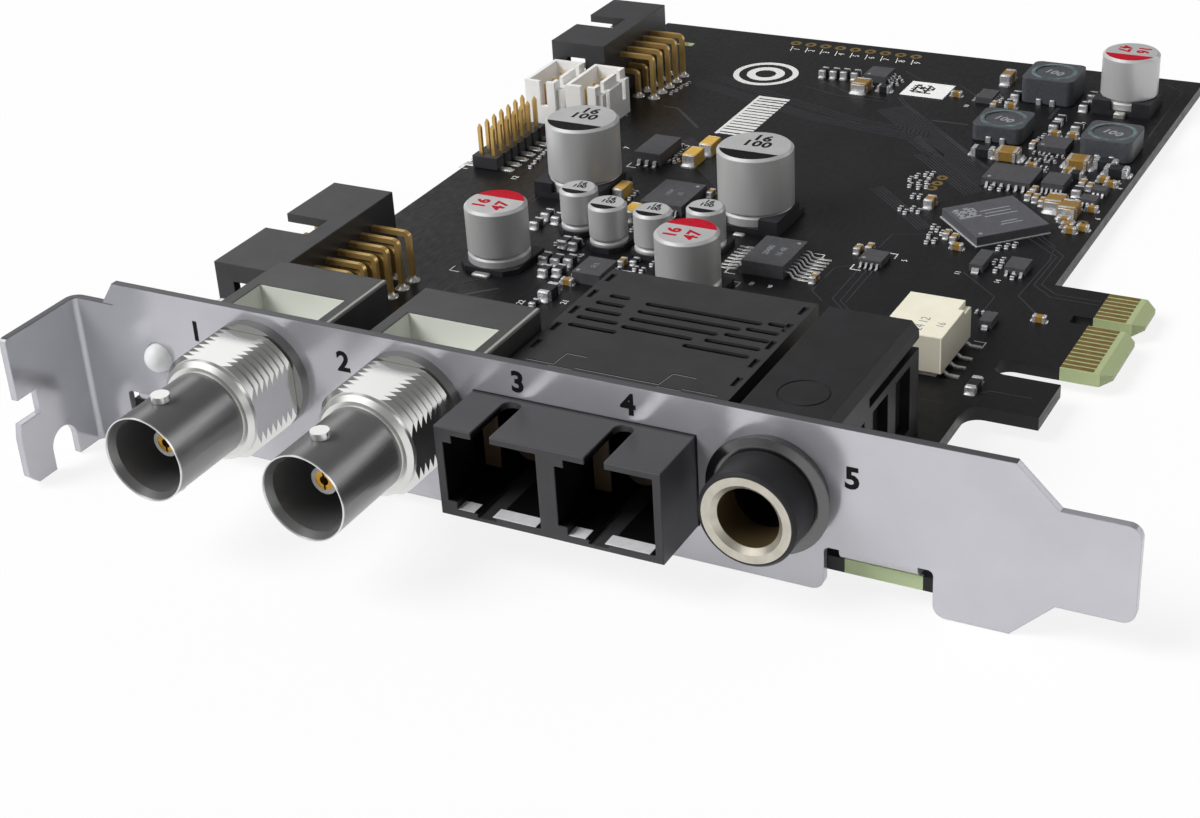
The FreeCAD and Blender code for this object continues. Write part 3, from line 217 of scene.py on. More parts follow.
# reflowed solder: bright, with a slightly rippled skin
surface("solder", "#c9c8c4", "#e4e3df", 0.25, 0.24, fineGrain=0.15, metal=0.7, bump=0.25)
# white epoxy print on the mask
surface("whitePrint", "#e0e0de", "#ebebe9", 0.3, 0.55)
# paper label, white
surface("labelPaper", "#f1f1f0", "#f8f8f7", 1.0, 0.6)
# black pad print
surface("blackInk", "#0a0a0b", "#111113", 0.4, 0.5, spec=0.15)
# red pad print
surface("redInk", "#b00a22", "#bd1029", 0.4, 0.5, spec=0.15)
# grey laser mark on resin
surface("laserMark", "#8a8d90", "#999c9f", 0.3, 0.6)
# varnish ring on the coils: glossy film with a teal cast
surface("blueVarnish", "#3e4648", "#6d8486", 1.6, 0.25, coat=0.4, spec=0.4)
# painted shade: the dark line of a gap between folded sheets
surface("darkSeam", "#070707", "#0c0c0c", 0.5, 0.6, spec=0.1)
# painted highlight: the pale edge beside each gap in the same painted sheet
surface("seamHighlight", "#7e7e80", "#8c8c8e", 0.5, 0.4)
# cut edge of a chip's carrier board: pale grey-green
surface("carrierEdge", "#989d9a", "#adb2af", 0.5, 0.5)
# pale, faintly metallic patches at the front of the port floors
surface("palePortLip", "#dcdcde", "#e8e8ea", 0.6, 0.4, metal=0.2)


def boxMm(name):
    # the low and high corner of a frame node, in millimetres
    return [[c / mm for c in corner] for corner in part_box(name)]


# the mask leaves the laminate bare under the contacts, along the front edge by the tab, and at one test patch
zoneTone("solderMask", [((99.27, 45.0, -3), (106, 67, 1), "#abb78a"), ((91.8, 0.0, -3), (99.7, 1.2, 1), "#b5c398"),
                        ((11.5, 130.0, -0.2), (14.0, 131.3, 0.2), "#a9bb8c")])
# the cast housings are paler bare metal inside their pockets, lightened further there as painted light
coaxX = (24.75, 44.22)  # middles of the two coaxial sockets
# painted highlight along one upper edge of each housing, where its rounded edge catches the light
castingEdgeHighlights = []
for housing in ("coax_in_housing", "coax_out_housing"):
    low, high = boxMm(housing)
    castingEdgeHighlights.append(((high[0] - 0.4, low[1] - 0.1, high[2] - 0.35), (high[0] + 0.1, high[1] + 0.1, high[2] + 0.1),
                   "#9c9d98"))
zoneTone("greyCasting", castingEdgeHighlights + [((x - 5.7, 2.15, 8.4), (x + 5.7, 9.15, 12.95), "#dcded6") for x in coaxX])
# painted shade: the sheet's top edge faces are darker, and duller
zoneTone("platedSheet", [((5.0, -0.02, 14.8), (110, 0.9, 14.92), "#66666a", 0.6, 0.4),
                         ((-1.0, -13, 12.14), (5.5, 0.9, 12.26), "#66666a", 0.6, 0.4)])
# painted highlights on the shells: lighter, shinier metal at the thread, nose ring, mouth rim and lugs
# and painted shade at the collar by the bracket
shellHighlightAndShadeBands = [((10, low, -10), (60, high, 20), code, metal, rough) for low, high, code, metal, rough in (
    (-9.6, 3, "#dededc", 1.0, 0.2), (-9.6, -8.4, "#e2e2df", 0.85, 0.3), (-1.25, 0.95, "#949492", 0.9, 0.3),
    (-20.1, -19.85, "#e2e2e0", 0.8, 0.25))]
lugHighlights = [((x - 1.15, -17, low), (x + 1.15, -14.8, high), "#dededc", 0.8, 0.2)
        for low, high in ((12.22, 13.2), (1.6, 2.62)) for x in coaxX]
zoneTone("turnedNickel", shellHighlightAndShadeBands + lugHighlights)
# painted shade: the relay's front and right walls are a darker cream than its top
relayLow, relayHigh = boxMm("relay")
wallTop = relayHigh[2] - 0.15
zoneTone("creamPbt", [
    ((relayLow[0] + 0.2, relayLow[1] - 0.1, -1), (relayHigh[0] - 0.2, relayLow[1] + 0.1, wallTop), "#cfcab8"),
    ((relayHigh[0] - 0.1, relayLow[1] - 0.1, -1), (relayHigh[0] + 0.1, relayHigh[1] + 0.1, wallTop), "#d2cdbb")])
# painted light on the port block's upper front; painted shade in the ports, key slots and the jack's bore
zoneTone("blackNylon", [((51.5, -7.9, 10.65), (77.5, -0.4, 13.5), "#4a4a4c")]
         + [((x, -7.68, 1.45), (x + 10.7, 7.2, 10.1), "#0d0c0d") for x in (52.7, 65.3)]
         + [((x, -7.6, 10.0), (x + 2.36, -1.68, 10.6), "#101010") for x in (56.0, 68.6)])
# the bore: a painted brownish reflection in the sleeve, nearly black beyond it, where the black housing also lies
zoneTone("springMetal", [((81.0, -5.72, 3.3), (88.6, 4, 10.2), "#8a7653"),
                         ((81.0, -1.8, 3.3), (88.6, 4, 10.2), "#16130f", 0.2, 0.5)])
# the pin strip's feet are tinned with solder
zoneTone("pinGold", [((low, 73.0, -3), (high, 89.0, 0.75), "#d8d7d3") for low, high in ((5.2, 7.7), (10.1, 12.9))])
print("finishes ready:", len(materials))

nodeFinish = {
    "solderMask": "board", "goldPlate": "edge_contacts", "platedSheet": "bracket", "zincScrew": "tab_screws",
    "clearAcrylic": "signal_lamp", "paintedCover": "transceiver_cover", "brownSleeve": "emitter_can detector_can",
    "innerBoard": "transceiver_board", "tinPlate": "transceiver_pins", "blackPbt": "jack_housing",
    "glossNylon": "jack_nut", "springMetal": "jack_sleeve jack_tip_spring jack_ring_spring jack_sleeve_spring",
    "blackNylon": "transceiver_base front_header rear_header pin_strip",
    "pinGold": "front_header_pins rear_header_pins left_wire_pins right_wire_pins pin_strip_pins",
    "whiteNylon": "left_wire_header right_wire_header", "pressedFerrite": "power_coil_1 power_coil_2 power_coil_3",
    "groundResin": "main_chip", "creamPbt": "relay", "chipResin": "surface_chips", "darkCeramic": "chip_passives",
    "turnedNickel": "coax_in_shell coax_out_shell", "whitePtfe": "coax_in_insulator coax_out_insulator",
    "socketGold": "coax_in_contact coax_out_contact", "greyCasting": "coax_in_housing coax_out_housing",
}
finishOf = {nodeName: finish for finish, names in nodeFinish.items() for nodeName in names.split()}
for nodeName, node in frame["nodes"].items():
    # what is left are the capacitors' cans and seats
    finish = finishOf.get(nodeName, "drawnAluminium" if nodeName.endswith("_can") else "seatMoulding")
    if not node.material_slots:
        node.data.materials.append(materials[finish])
    for place in node.material_slots:
        place.material = materials[finish]
print("frame finished:", len(frame["nodes"]))


# shapes

def gridFaces(rings, around, count=1, wrap=False):
    # quads between neighbouring rings of each of count forms; the first and last ring are closed by a face,
    # or joined to each other where the profile is a loop
    start = np.arange(count)[:, None, None] * rings * around
    i = np.arange(rings if wrap else rings - 1)[:, None]
    j = np.arange(around)
    here, after, beside = start + i * around, start + (i + 1) % rings * around, (j + 1) % around
    faces = np.stack([here + j, here + beside, after + beside, after + j], -1).reshape(-1, 4).tolist()
    if not wrap:
        faces += (start[:, 0] + j[::-1]).tolist() + (start[:, 0] + (rings - 1) * around + j).tolist()
    return faces


def joined(shapes):
    # (points, faces) pairs made into one pair
    points, faces, offset = [], [], 0
    for p, f in shapes:
        points.append(np.asarray(p, float).reshape(-1, 3))
        faces += [[k + offset for k in face] for face in f]
        offset += len(points[-1])
    return np.concatenate(points), faces


def makePiece(name, shapes, finish, smoothAngle=35.0):
    # joins (points, faces) pairs into one mesh in metres that rides on the card
    points, faces = joined(shapes)
    mesh = bpy.data.meshes.new(name)
    mesh.from_pydata((points * mm).tolist(), [], faces)
    mesh.polygons.foreach_set("use_smooth", np.ones(len(mesh.polygons), bool))
    mesh.set_sharp_from_angle(angle=math.radians(smoothAngle))
    mesh.materials.append(materials[finish])
    piece = bpy.data.objects.new(name, mesh)
    bpy.context.scene.collection.objects.link(piece)
    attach(piece, "root")
    return piece


def roundedBlocks(rows):
    # a rectangle with cut corners, carried straight up and pulled in by the edge size at the top: each corner
    # point is the middle of the corner's arc plus the edge size along the cosine and sine of 0, 90 ... 360 degrees;
    # each row is middle x, middle y, foot z, long, wide, high, turn in degrees, edge
    midX, midY, foot, long, wide, high, turn, edge = np.asarray(rows, float).T[:, :, None, None]
    angle = np.array([0, 90, 90, 180, 180, 270, 270, 360]) * math.pi / 180
    signX, signY = np.repeat([1, -1, -1, 1], 2), np.repeat([1, 1, -1, -1], 2)
    inset = np.array([0, 0, 1])[:, None] * edge
    level = np.array([0, 1, 1])[:, None] * high - np.array([0, 1, 0])[:, None] * edge
    x = signX * (long / 2 - edge) + (edge - inset * 0.8) * np.cos(angle) - signX * inset * 0.2
    y = signY * (wide / 2 - edge) + (edge - inset * 0.8) * np.sin(angle) - signY * inset * 0.2
    cos, sin = np.cos(np.radians(turn)), np.sin(np.radians(turn))
    points = np.stack([midX + x * cos - y * sin, midY + x * sin + y * cos, foot + level + 0 * x], -1)
    return points, gridFaces(3, len(angle), len(midX))


def turnedForms(places, profile, around=12, wrap=False):
    # a profile of (radius, height) turned about an upright axis at each place (x, y, z): radius times the cosine
    # and sine of evenly spaced angles
    radius, height = np.asarray(profile, float).T[:, :, None]
    a = np.linspace(0, 2 * math.pi, around, endpoint=False)
    ring = np.stack([radius * np.cos(a), radius * np.sin(a), height + 0 * a], -1)
    return np.asarray(places, float)[:, None, None, :] + ring, gridFaces(len(radius), around, len(places), wrap)


def bentLeads(rows, path):
    # a flat bar's section carried along a path of (outwards, up) steps, square to the path's slope; each row is
    # start x, start y, direction in degrees, reach, shoulder height, width, thickness; the path is in shares of
    # reach and height
    startX, startY, turn, reach, shoulder, width, thick = np.asarray(rows, float).T[:, :, None, None]
    shareOut, shareUp = np.asarray(path, float).T[:, :, None]
    out, up = shareOut * reach, shareUp * shoulder + thick / 2
    stepOut, stepUp = np.gradient(out, axis=1), np.gradient(up, axis=1)
    length = np.hypot(stepOut, stepUp)
    side = np.array([1, 1, -1, -1]) * width / 2
    rise = np.array([-1, 1, 1, -1]) * thick / 2
    o = out - stepUp / length * rise
    z = up + stepOut / length * rise
    cos, sin = np.cos(np.radians(turn)), np.sin(np.radians(turn))
    points = np.stack([startX + o * cos - side * sin, startY + o * sin + side * cos, z], -1)
    return points, gridFaces(len(path), 4, len(rows))


def mitred(path):
    # a path's points, and at each the sideways step of an even border: the mean of the directions before and
    # after, turned by a quarter and divided by the cosine between that mean and the direction after
    p = np.asarray(path, float)
    step = np.diff(p, axis=0)
    step /= np.hypot(step[:, 0], step[:, 1])[:, None]
    after = np.vstack([step, step[-1:]])
    along = np.vstack([step[:1], step]) + after
    along /= np.hypot(along[:, 0], along[:, 1])[:, None]
    stretch = 1 / np.maximum(0.4, (along * after).sum(1))
    return p, np.stack([-along[:, 1], along[:, 0]], -1) * stretch[:, None]


def flatStrips(paths, wide, top, thick=0.03):
    # a thin bar laid along each path on a level plane, its corners mitred
    low = top - thick
    shapes = []
    for path in paths:
        p, aside = mitred(path)
        xy = p[:, None, :] + np.array([1, 1, -1, -1])[:, None] * aside[:, None, :] * wide / 2
        z = np.broadcast_to(np.array([low, top, top, low]), xy.shape[:2])
        shapes.append((np.concatenate([xy, z[..., None]], -1), gridFaces(len(p), 4)))
    return joined(shapes)


def numberShape(text, size, place, turn=90.0, bold=0.0, thick=0.02, upright=False):
    # plain digits as a mesh at a place: level and turned by degrees, or upright and facing the front
    curve = bpy.data.curves.new("number", "FONT")
    for key, value in {"body": text, "size": size, "align_x": "CENTER", "align_y": "CENTER", "resolution_u": 3,
                       "space_character": 1.0 + bold, "extrude": thick / 2, "offset": bold}.items():
        setattr(curve, key, value)
    holder = bpy.data.objects.new("number", curve)
    bpy.context.scene.collection.objects.link(holder)
    mesh = bpy.data.meshes.new_from_object(holder.evaluated_get(bpy.context.evaluated_depsgraph_get()))
    co = np.empty(len(mesh.vertices) * 3)
    mesh.vertices.foreach_get("co", co)
    faces = [list(p.vertices) for p in mesh.polygons]
    bpy.data.objects.remove(holder, do_unlink=True)
    bpy.data.curves.remove(curve)
    bpy.data.meshes.remove(mesh)
    cos, sin = math.cos(math.radians(turn)), math.sin(math.radians(turn))
    axes = [(1, 0, 0), (0, 0, 1), (0, -1, 0)] if upright else [(cos, sin, 0), (-sin, cos, 0), (0, 0, 1)]
    return np.asarray(place, float) + co.reshape(-1, 3) @ np.array(axes, float), faces


def atLevel(places, z):
    return [(x, y, z) for x, y in places]


# bright solder where pins come through the board
under = -1.57  # height of the board's lower face; its upper face is at 0
pinPitch = 2.54
soldered = {
    "headerLegs": [(x, first + pinPitch * k) for first, count in ((24.05, 7), (107.1, 5)) for k in range(count)
                   for x in (16.11, 18.65)],
    "otherLegs": [(x, y) for x in (7.8, 14.55) for y in (94.25, 96.75, 99.25)] + [(x, 7.6) for x in coaxX]
                 + [(64.35 + pinPitch * (k - 4), 28.9) for k in range(9)] + [(88.2, 6.7), (81.4, 13.7), (88.2, 20.7)],
    "coaxStakes": [(x + side * 2 * pinPitch, 12.6) for x in coaxX for side in (-1, 1)],
    "coneTop": [(0.98, 0.0), (0.93, 0.1), (0.66, 0.24), (0.5, 0.42), (0.42, 0.66)],
    "coneUnder": [(0.32, -0.95), (0.42, -0.66), (0.52, -0.36), (0.75, -0.14), (0.98, -0.03), (1.0, 0.03)],
}
allLegs = soldered["headerLegs"] + soldered["otherLegs"]
makePiece("top_solder", [turnedForms(atLevel(soldered["headerLegs"], 0.0), soldered["coneTop"], 14)], "solder")
makePiece("under_solder", [
    turnedForms(atLevel(allLegs, under), soldered["coneUnder"], 14),
    turnedForms(atLevel(soldered["coaxStakes"], under), [(r * 1.5, z) for r, z in soldered["coneUnder"]], 16)],
    "solder")
print("solder done")

# ceramic and resin parts with silver ends, many of them too small for the solids
smallParts = {
    # piece: finish, share of the length that an end covers, then by (long, wide, high, turn in degrees) the middles
    "tan_capacitors": ("tanCeramic", 0.28, [
        ((1.6, 0.8, 0.8, 90), [
            (41.3, 52.6), (42.5, 76.3), (67.3, 119.8), (77.1, 107.1), (87.2, 96.2), (88.4, 95.4), (76.1, 74.7),
            (77.3, 73.9), (67.3, 66.6), (68.5, 67.5), (65.4, 56.8), (82.0, 91.8), (81.9, 89.8), (83.0, 89.4),
            (84.1, 88.6)]),
        ((1.6, 0.8, 0.8, 0), [
            (37.5, 45.2), (60.8, 122.3), (69.7, 120.4), (78.7, 111.9), (81.2, 112.0), (79.1, 99.8), (84.3, 99.9),
            (89.3, 98.4), (90.6, 97.3), (90.6, 88.6), (88.4, 84.0), (89.2, 82.5), (89.9, 81.3), (91.2, 82.5),
            (93.8, 56.1), (78.4, 71.7)]),
        ((2.0, 1.25, 1.25, 90), [(70.8, 83.1)])]),
    "brown_capacitors": ("brownCeramic", 0.27, [
        ((3.2, 2.5, 1.4, 0), [(75.1, 102.1), (84.8, 102.4)]),
        ((3.2, 2.5, 1.6, 90), [(86.0, 88.0), (88.2, 86.6)]),
        ((3.2, 1.6, 1.6, 90), [(66.0, 130.2)]),
        ((3.0, 2.5, 1.5, 90), [(46.7, 120.2)])]),
    "dark_blocks": ("darkCeramic", 0.26, [
        ((2.0, 1.25, 0.95, 90), [
            (25.3, 59.2), (25.3, 62.2), (27.2, 61.6), (31.7, 55.3), (33.2, 55.2), (31.7, 50.1), (33.4, 50.1),
            (35.0, 50.6), (33.5, 46.8), (35.1, 47.5), (69.2, 124.1), (79.6, 123.1), (79.5, 127.4), (77.9, 114.3),
            (77.9, 117.0), (80.9, 114.8), (87.4, 93.2)]),
        ((2.0, 1.25, 0.95, 0), [(50.1, 120.8), (85.6, 98.6)]),
        ((3.2, 1.6, 1.25, 0), [(71.7, 101.9), (88.3, 103.1), (90.3, 101.2)]),
        ((3.2, 1.6, 1.25, 90), [(37.0, 41.4)]),
        ((2.0, 1.0, 1.2, 90), [(39.2, 123.9), (40.9, 124.1), (42.5, 124.3), (44.2, 124.4)]),
        ((3.0, 1.2, 0.9, 90), [(92.1, 37.9)])]),
    "chip_resistors": ("darkCeramic", 0.3, [
        ((1.0, 0.5, 0.36, 90), [
            (30.5, 55.3), (32.0, 57.1), (43.5, 51.9), (44.5, 51.8), (44.9, 53.9), (40.4, 52.2), (32.7, 73.3),
            (32.7, 71.7), (37.7, 62.5), (42.6, 74.7), (20.5, 109.6), (20.7, 111.0), (20.8, 112.5), (21.1, 113.9),
            (14.6, 76.8), (14.3, 78.7), (14.1, 80.4), (13.9, 82.0), (32.1, 87.3), (32.1, 88.8), (31.2, 90.7),
            (67.5, 122.4), (81.2, 117.0), (77.0, 109.7), (77.3, 111.2), (76.3, 91.4), (77.5, 91.4), (88.0, 91.3),
            (65.4, 90.5), (65.9, 91.8), (66.8, 92.7), (67.6, 93.1), (66.1, 88.5), (66.9, 89.7), (67.8, 90.4),
            (67.4, 88.3), (68.3, 88.9), (67.7, 91.7), (67.7, 85.2), (68.6, 85.3), (67.6, 80.8), (68.6, 80.0),
            (69.1, 81.3), (70.1, 80.8), (73.5, 76.8), (74.3, 76.2), (75.2, 75.4), (74.3, 72.3), (75.1, 72.8),
            (73.9, 74.3), (83.2, 73.5), (84.0, 74.4), (84.8, 75.1), (83.0, 71.5), (84.0, 69.5), (84.9, 67.3),
            (85.1, 68.8), (87.4, 66.2), (84.8, 70.3)]),
        ((1.0, 0.5, 0.36, 0), [
            (32.4, 85.0), (32.7, 85.8), (50.6, 123.8), (50.8, 125.4), (49.9, 126.7), (78.3, 104.9), (79.7, 104.8),
            (80.3, 104.0), (81.6, 104.7), (78.5, 102.4), (79.8, 102.6), (81.1, 102.6), (80.7, 100.2), (80.8, 99.2),
            (84.7, 97.3), (89.7, 96.2), (91.0, 98.6), (90.1, 83.8), (86.8, 55.7), (88.2, 55.7)]),
        ((1.6, 0.8, 0.5, 90), [(36.4, 38.7), (42.5, 53.7), (68.8, 121.9)])]),
    "tantalum_blocks": ("yellowResin", 0.12, [
        ((3.2, 1.6, 1.6, 90), [(31.3, 72.2), (35.9, 66.1)]),
        ((3.3, 2.0, 1.8, 90), [(35.3, 86.0), (35.8, 90.4)])]),
}


def endedParts(rows, cap):
    # a block, a silver block over each of its ends and a low bead of solder before each: places are the middle plus
    # a distance along the cosine and sine of the turn; each row is middle x, middle y, long, wide, high, turn
    x, y, long, wide, high, turn = np.asarray(rows, float).T
    cos, sin = np.cos(np.radians(turn)), np.sin(np.radians(turn))
    none = np.zeros(len(x))
    bodies = np.stack([x, y, none + 0.03, long * 0.96, wide, high - 0.03, turn, wide * 0.05], -1)
    ends = []
    for sign in (-1, 1):
        away = sign * (long / 2) * (1 - cap)
        ends.append(np.stack([x + away * cos, y + away * sin, none, long * cap, wide + 0.06, high + 0.03, turn,
                              wide * 0.1], -1))
    for sign in (-1, 1):
        away = sign * (long / 2 + wide * 0.12)
        ends.append(np.stack([x + away * cos, y + away * sin, none, wide * 0.36, wide * 1.04, high * 0.3, turn,
                              wide * 0.14], -1))
    return bodies, np.concatenate(ends)


silverEnds, pieces = [], []
for name, (finish, cap, groups) in smallParts.items():
    bodies, ends = endedParts([(x, y, *size) for size, middles in groups for x, y in middles], cap)
    pieces.append(makePiece(name, [roundedBlocks(bodies)], finish))
    silverEnds.append(ends)
pieces.append(makePiece("silver_ends", [roundedBlocks(np.concatenate(silverEnds))], "tinPlate"))
for piece in pieces:
    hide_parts("chip_passives")
print("small parts done:", sum(len(ends) for ends in silverEnds) // 4)

# leads of the chips, the relay and the coils

leads = {
    # middle x, middle y, body wide, body deep, sides, leads on a side, pitch, reach, shoulder, lead width
    "gull": [(59.0, 59.7, 5.6, 7.8, "x", 8, 0.92, 2.4, 0.7, 0.3), (38.8, 72.6, 6.0, 7.8, "y", 10, 0.5, 1.0, 0.6, 0.22),
             (39.7, 48.3, 3.9, 4.8, "x", 4, 1.1, 1.1, 0.7, 0.4), (29.6, 86.5, 4.0, 6.8, "y", 3, 1.2, 0.9, 0.6, 0.5),
             (78.0, 94.9, 6.6, 5.6, "y", 6, 1.0, 0.9, 0.5, 0.35), (84.1, 94.6, 3.0, 3.9, "y", 5, 0.62, 0.9, 0.45, 0.28),
             (70.2, 64.6, 3.0, 3.2, "y", 4, 0.7, 0.9, 0.4, 0.26), (82.7, 68.5, 1.7, 4.6, "y", 1, 1.0, 0.7, 0.4, 0.9),
             (87.3, 68.5, 2.6, 3.2, "y", 3, 0.9, 0.7, 0.4, 0.35), (47.4, 125.8, 3.5, 4.0, "x", 4, 0.9, 0.8, 0.4, 0.35),
             (65.4, 122.6, 2.5, 3.6, "x", 4, 0.8, 0.7, 0.4, 0.3), (89.6, 91.0, 2.2, 1.9, "y", 3, 0.65, 0.6, 0.35, 0.3),
             (90.0, 94.4, 2.0, 1.7, "y", 3, 0.6, 0.6, 0.35, 0.28), (88.6, 53.4, 1.5, 2.6, "y", 1, 1.0, 0.6, 0.35, 0.7)],
    "gullPath": [(-0.25, 1.0), (0.12, 1.0), (0.26, 0.94), (0.42, 0.1), (0.56, 0.0), (1.0, 0.0)],
    "relay": [(x, y, turn, 2.3, 0.34, 0.5, 0.22) for x, turn in ((87.5, 0), (81.6, 180))
              for y in (39.6, 41.8, 44.1, 47.2)],
    "thick": 0.15,
}
coils = [(73.9, 126.8, 7.6, 3.8), (71.8, 110.3, 7.2, 2.4), (87.5, 108.8, 7.2, 3.0)]  # middle x, middle y, side, high
leadRows = []
for x, y, wide, deep, sides, count, pitch, reach, shoulder, width in leads["gull"]:
    for k in range(count):
        along = (k - (count - 1) / 2) * pitch
        for sign in (1, -1):
            if sides == "x":
                dx, dy, turn = sign * wide / 2, along, 90 - 90 * sign
            else:
                dx, dy, turn = along, sign * deep / 2, 180 - 90 * sign
            leadRows.append((x + dx, y + dy, turn, reach, shoulder, width, leads["thick"]))
coilTabs = [(x + k, y - sign * (side / 2 + 0.02), 0.0, 0.75, 0.5, 0.9, 0, 0.1)
            for x, y, side, high in coils for k in (-1, 1) for sign in (-1, 1)]
makePiece("chip_leads", [bentLeads(leadRows, leads["gullPath"]), bentLeads(leads["relay"], leads["gullPath"])],
          "tinPlate", 50)
makePiece("coil_tabs", [roundedBlocks(coilTabs)], "tinPlate")
longPads = [(59.0 + sign * 5.3, 59.7 + (k - 3.5) * 0.92, 0.0, 1.9, 0.4, 0.09, 0, 0.05)
            for k in range(8) for sign in (-1, 1)]
stripPads = [(8.9 + sign * 2.7, 74.8 + 2 * k, 0.0, 2.5, 1.0, 0.12, 0, 0.1) for k in range(7) for sign in (-1, 1)]
terminals = [(x, y, 0.0, long, wide, high, 0, 0.15) for x, y, long, wide, high in (
    (26.1, 43.45, 2.4, 1.0, 0.35), (51.3, 65.9, 1.6, 0.8, 0.3), (52.4, 43.8, 2.2, 1.0, 0.35),
    (85.0, 131.0, 2.2, 1.0, 0.35), (85.0, 121.9, 1.6, 1.2, 0.7), (25.15, 67.6, 1.6, 1.0, 0.35),
    (25.15, 79.0, 1.6, 1.0, 0.35), (51.05, 77.7, 1.6, 1.0, 0.35))]
makePiece("solder_pads", [roundedBlocks(stripPads + longPads + terminals)], "solder")
print("leads done:", len(leadRows))

# gold pads and rings in the mask

goldSpots = {
    "row": [(29.3 + 2.5 * k, 136.5) for k in range(9)],
    "vias": [(69.1, 92.6), (69.1, 90.6), (69.0, 88.8), (90.5, 84.7)],
    "patch": [(12.7, 130.6)],
    "ring": [(0.38, -0.02), (0.9, -0.02), (0.9, 0.025), (0.38, 0.025)],
}
makePiece("gold_rings", [
    turnedForms(atLevel(goldSpots[spots], 0.0), [(r * share, z) for r, z in goldSpots["ring"]], around, True)
    for spots, share, around in (("row", 1, 20), ("vias", 0.85, 20), ("patch", 0.5, 16))], "goldPlate")
makePiece("gold_rings_under", [turnedForms(atLevel(goldSpots["row"], under),
                                           [(r, -z) for r, z in goldSpots["ring"]][::-1], 20, True)],
          "goldPlate")

# copper tracks under the mask

def bundle(path, count, pitch):
    # a path and its neighbours, each moved sideways so that the gaps stay even round the corners
    p, aside = mitred(path)
    return [p + aside * (k - (count - 1) / 2) * pitch for k in range(count)]


trackWide, trackHigh = 0.16, 0.022
trackPaths = (
    bundle([(53.0, 119.3), (54.5, 117.2), (70.6, 100.9), (73.6, 97.9)], 2, 0.42)
    + bundle([(53.6, 114.9), (60.0, 108.5), (68.1, 100.1), (75.4, 92.8)], 12, 0.42)
    + bundle([(63.8, 100.0), (67.2, 96.6), (74.8, 89.0)], 7, 0.45)
    + bundle([(62.0, 86.6), (68.9, 79.8), (72.6, 76.1)], 5, 0.42)
    + bundle([(30.0, 93.2), (43.0, 80.4), (45.6, 77.8)], 9, 0.4)
    + bundle([(21.8, 115.3), (44.0, 107.5), (60.5, 104.8), (66.0, 99.3)], 5, 0.5)
    + bundle([(17.0, 122.0), (28.0, 116.5), (50.0, 108.6), (62.5, 106.6)], 3, 0.7)
    + [[(84.6, 78.8), (90.5, 73.8), (90.3, 65.2), (93.1, 62.7), (98.9, 62.6)],
       [(85.1, 79.9), (91.2, 74.3), (91.1, 65.6), (93.5, 63.6), (98.9, 63.6)],
       [(85.6, 80.4), (89.4, 76.6), (90.0, 72.6), (89.5, 61.7), (93.0, 57.7)],
       [(81.3, 65.7), (87.0, 60.4), (87.0, 56.9)], [(73.2, 74.5), (69.4, 73.1), (69.2, 67.4)],
       [(69.2, 62.0), (69.3, 53.1), (72.0, 50.4)], [(70.2, 62.0), (70.4, 52.9), (72.6, 50.7)],
       [(68.5, 62.9), (66.3, 61.3), (66.2, 54.3), (68.4, 52.1)], [(71.0, 62.0), (71.2, 52.7)],
       [(38.1, 119.0), (44.0, 117.0), (51.6, 116.8)], [(39.1, 122.3), (45.5, 118.4), (52.0, 118.0)],
       [(87.7, 136.9), (90.7, 134.4), (90.7, 116.0)], [(50.0, 130.0), (53.7, 126.9), (60.0, 126.6), (63.6, 123.2)],
       [(16.8, 88.0), (20.0, 84.8), (20.0, 64.0), (22.4, 61.4)], [(17.6, 88.4), (20.7, 85.3), (20.7, 66.0)],
       [(90.0, 8.0), (98.3, 8.0)], [(44.0, 36.0), (47.0, 33.5), (90.0, 33.5)],
       [(92.0, 36.0), (94.0, 38.0), (98.6, 38.0)], [(24.0, 22.0), (24.0, 40.0), (27.4, 43.4)]])
widePaths = [[(40.2, 66.6), (44.4, 66.6), (47.0, 69.2)], [(22.0, 27.0), (22.0, 33.0), (30.0, 41.0)],
             [(80.0, 34.6), (80.0, 50.0)], [(76.0, 118.0), (76.0, 122.6)], [(30.3, 98.0), (24.0, 104.3), (21.8, 104.3)],
             [(60.6, 112.0), (66.0, 112.0)], [(27.3, 67.5), (27.3, 63.5)]]
underPaths = (
    bundle([(20.0, 30.0), (20.0, 60.0), (44.0, 84.0), (44.0, 118.0)], 8, 0.6)
    + bundle([(60.0, 34.0), (60.0, 70.0), (76.0, 86.0), (76.0, 120.0)], 10, 0.55)
    + bundle([(98.9, 49.0), (88.0, 49.0), (70.0, 67.0), (52.0, 67.0), (30.0, 89.0)], 6, 0.6)
    + bundle([(98.9, 62.6), (90.0, 62.6), (84.0, 68.6), (84.0, 76.0)], 5, 0.6))
makePiece("masked_tracks", [flatStrips(trackPaths, trackWide, trackHigh), flatStrips(widePaths, 0.5, trackHigh)],
          "maskedTrack", 25)
makePiece("masked_tracks_under", [flatStrips(underPaths, 0.2, under + 0.03, 0.03 + trackHigh)], "maskedTrack",
          25)
print("tracks done:", len(trackPaths) + len(underPaths))

# white print on the mask: rings, bars, outlines and plain numbers

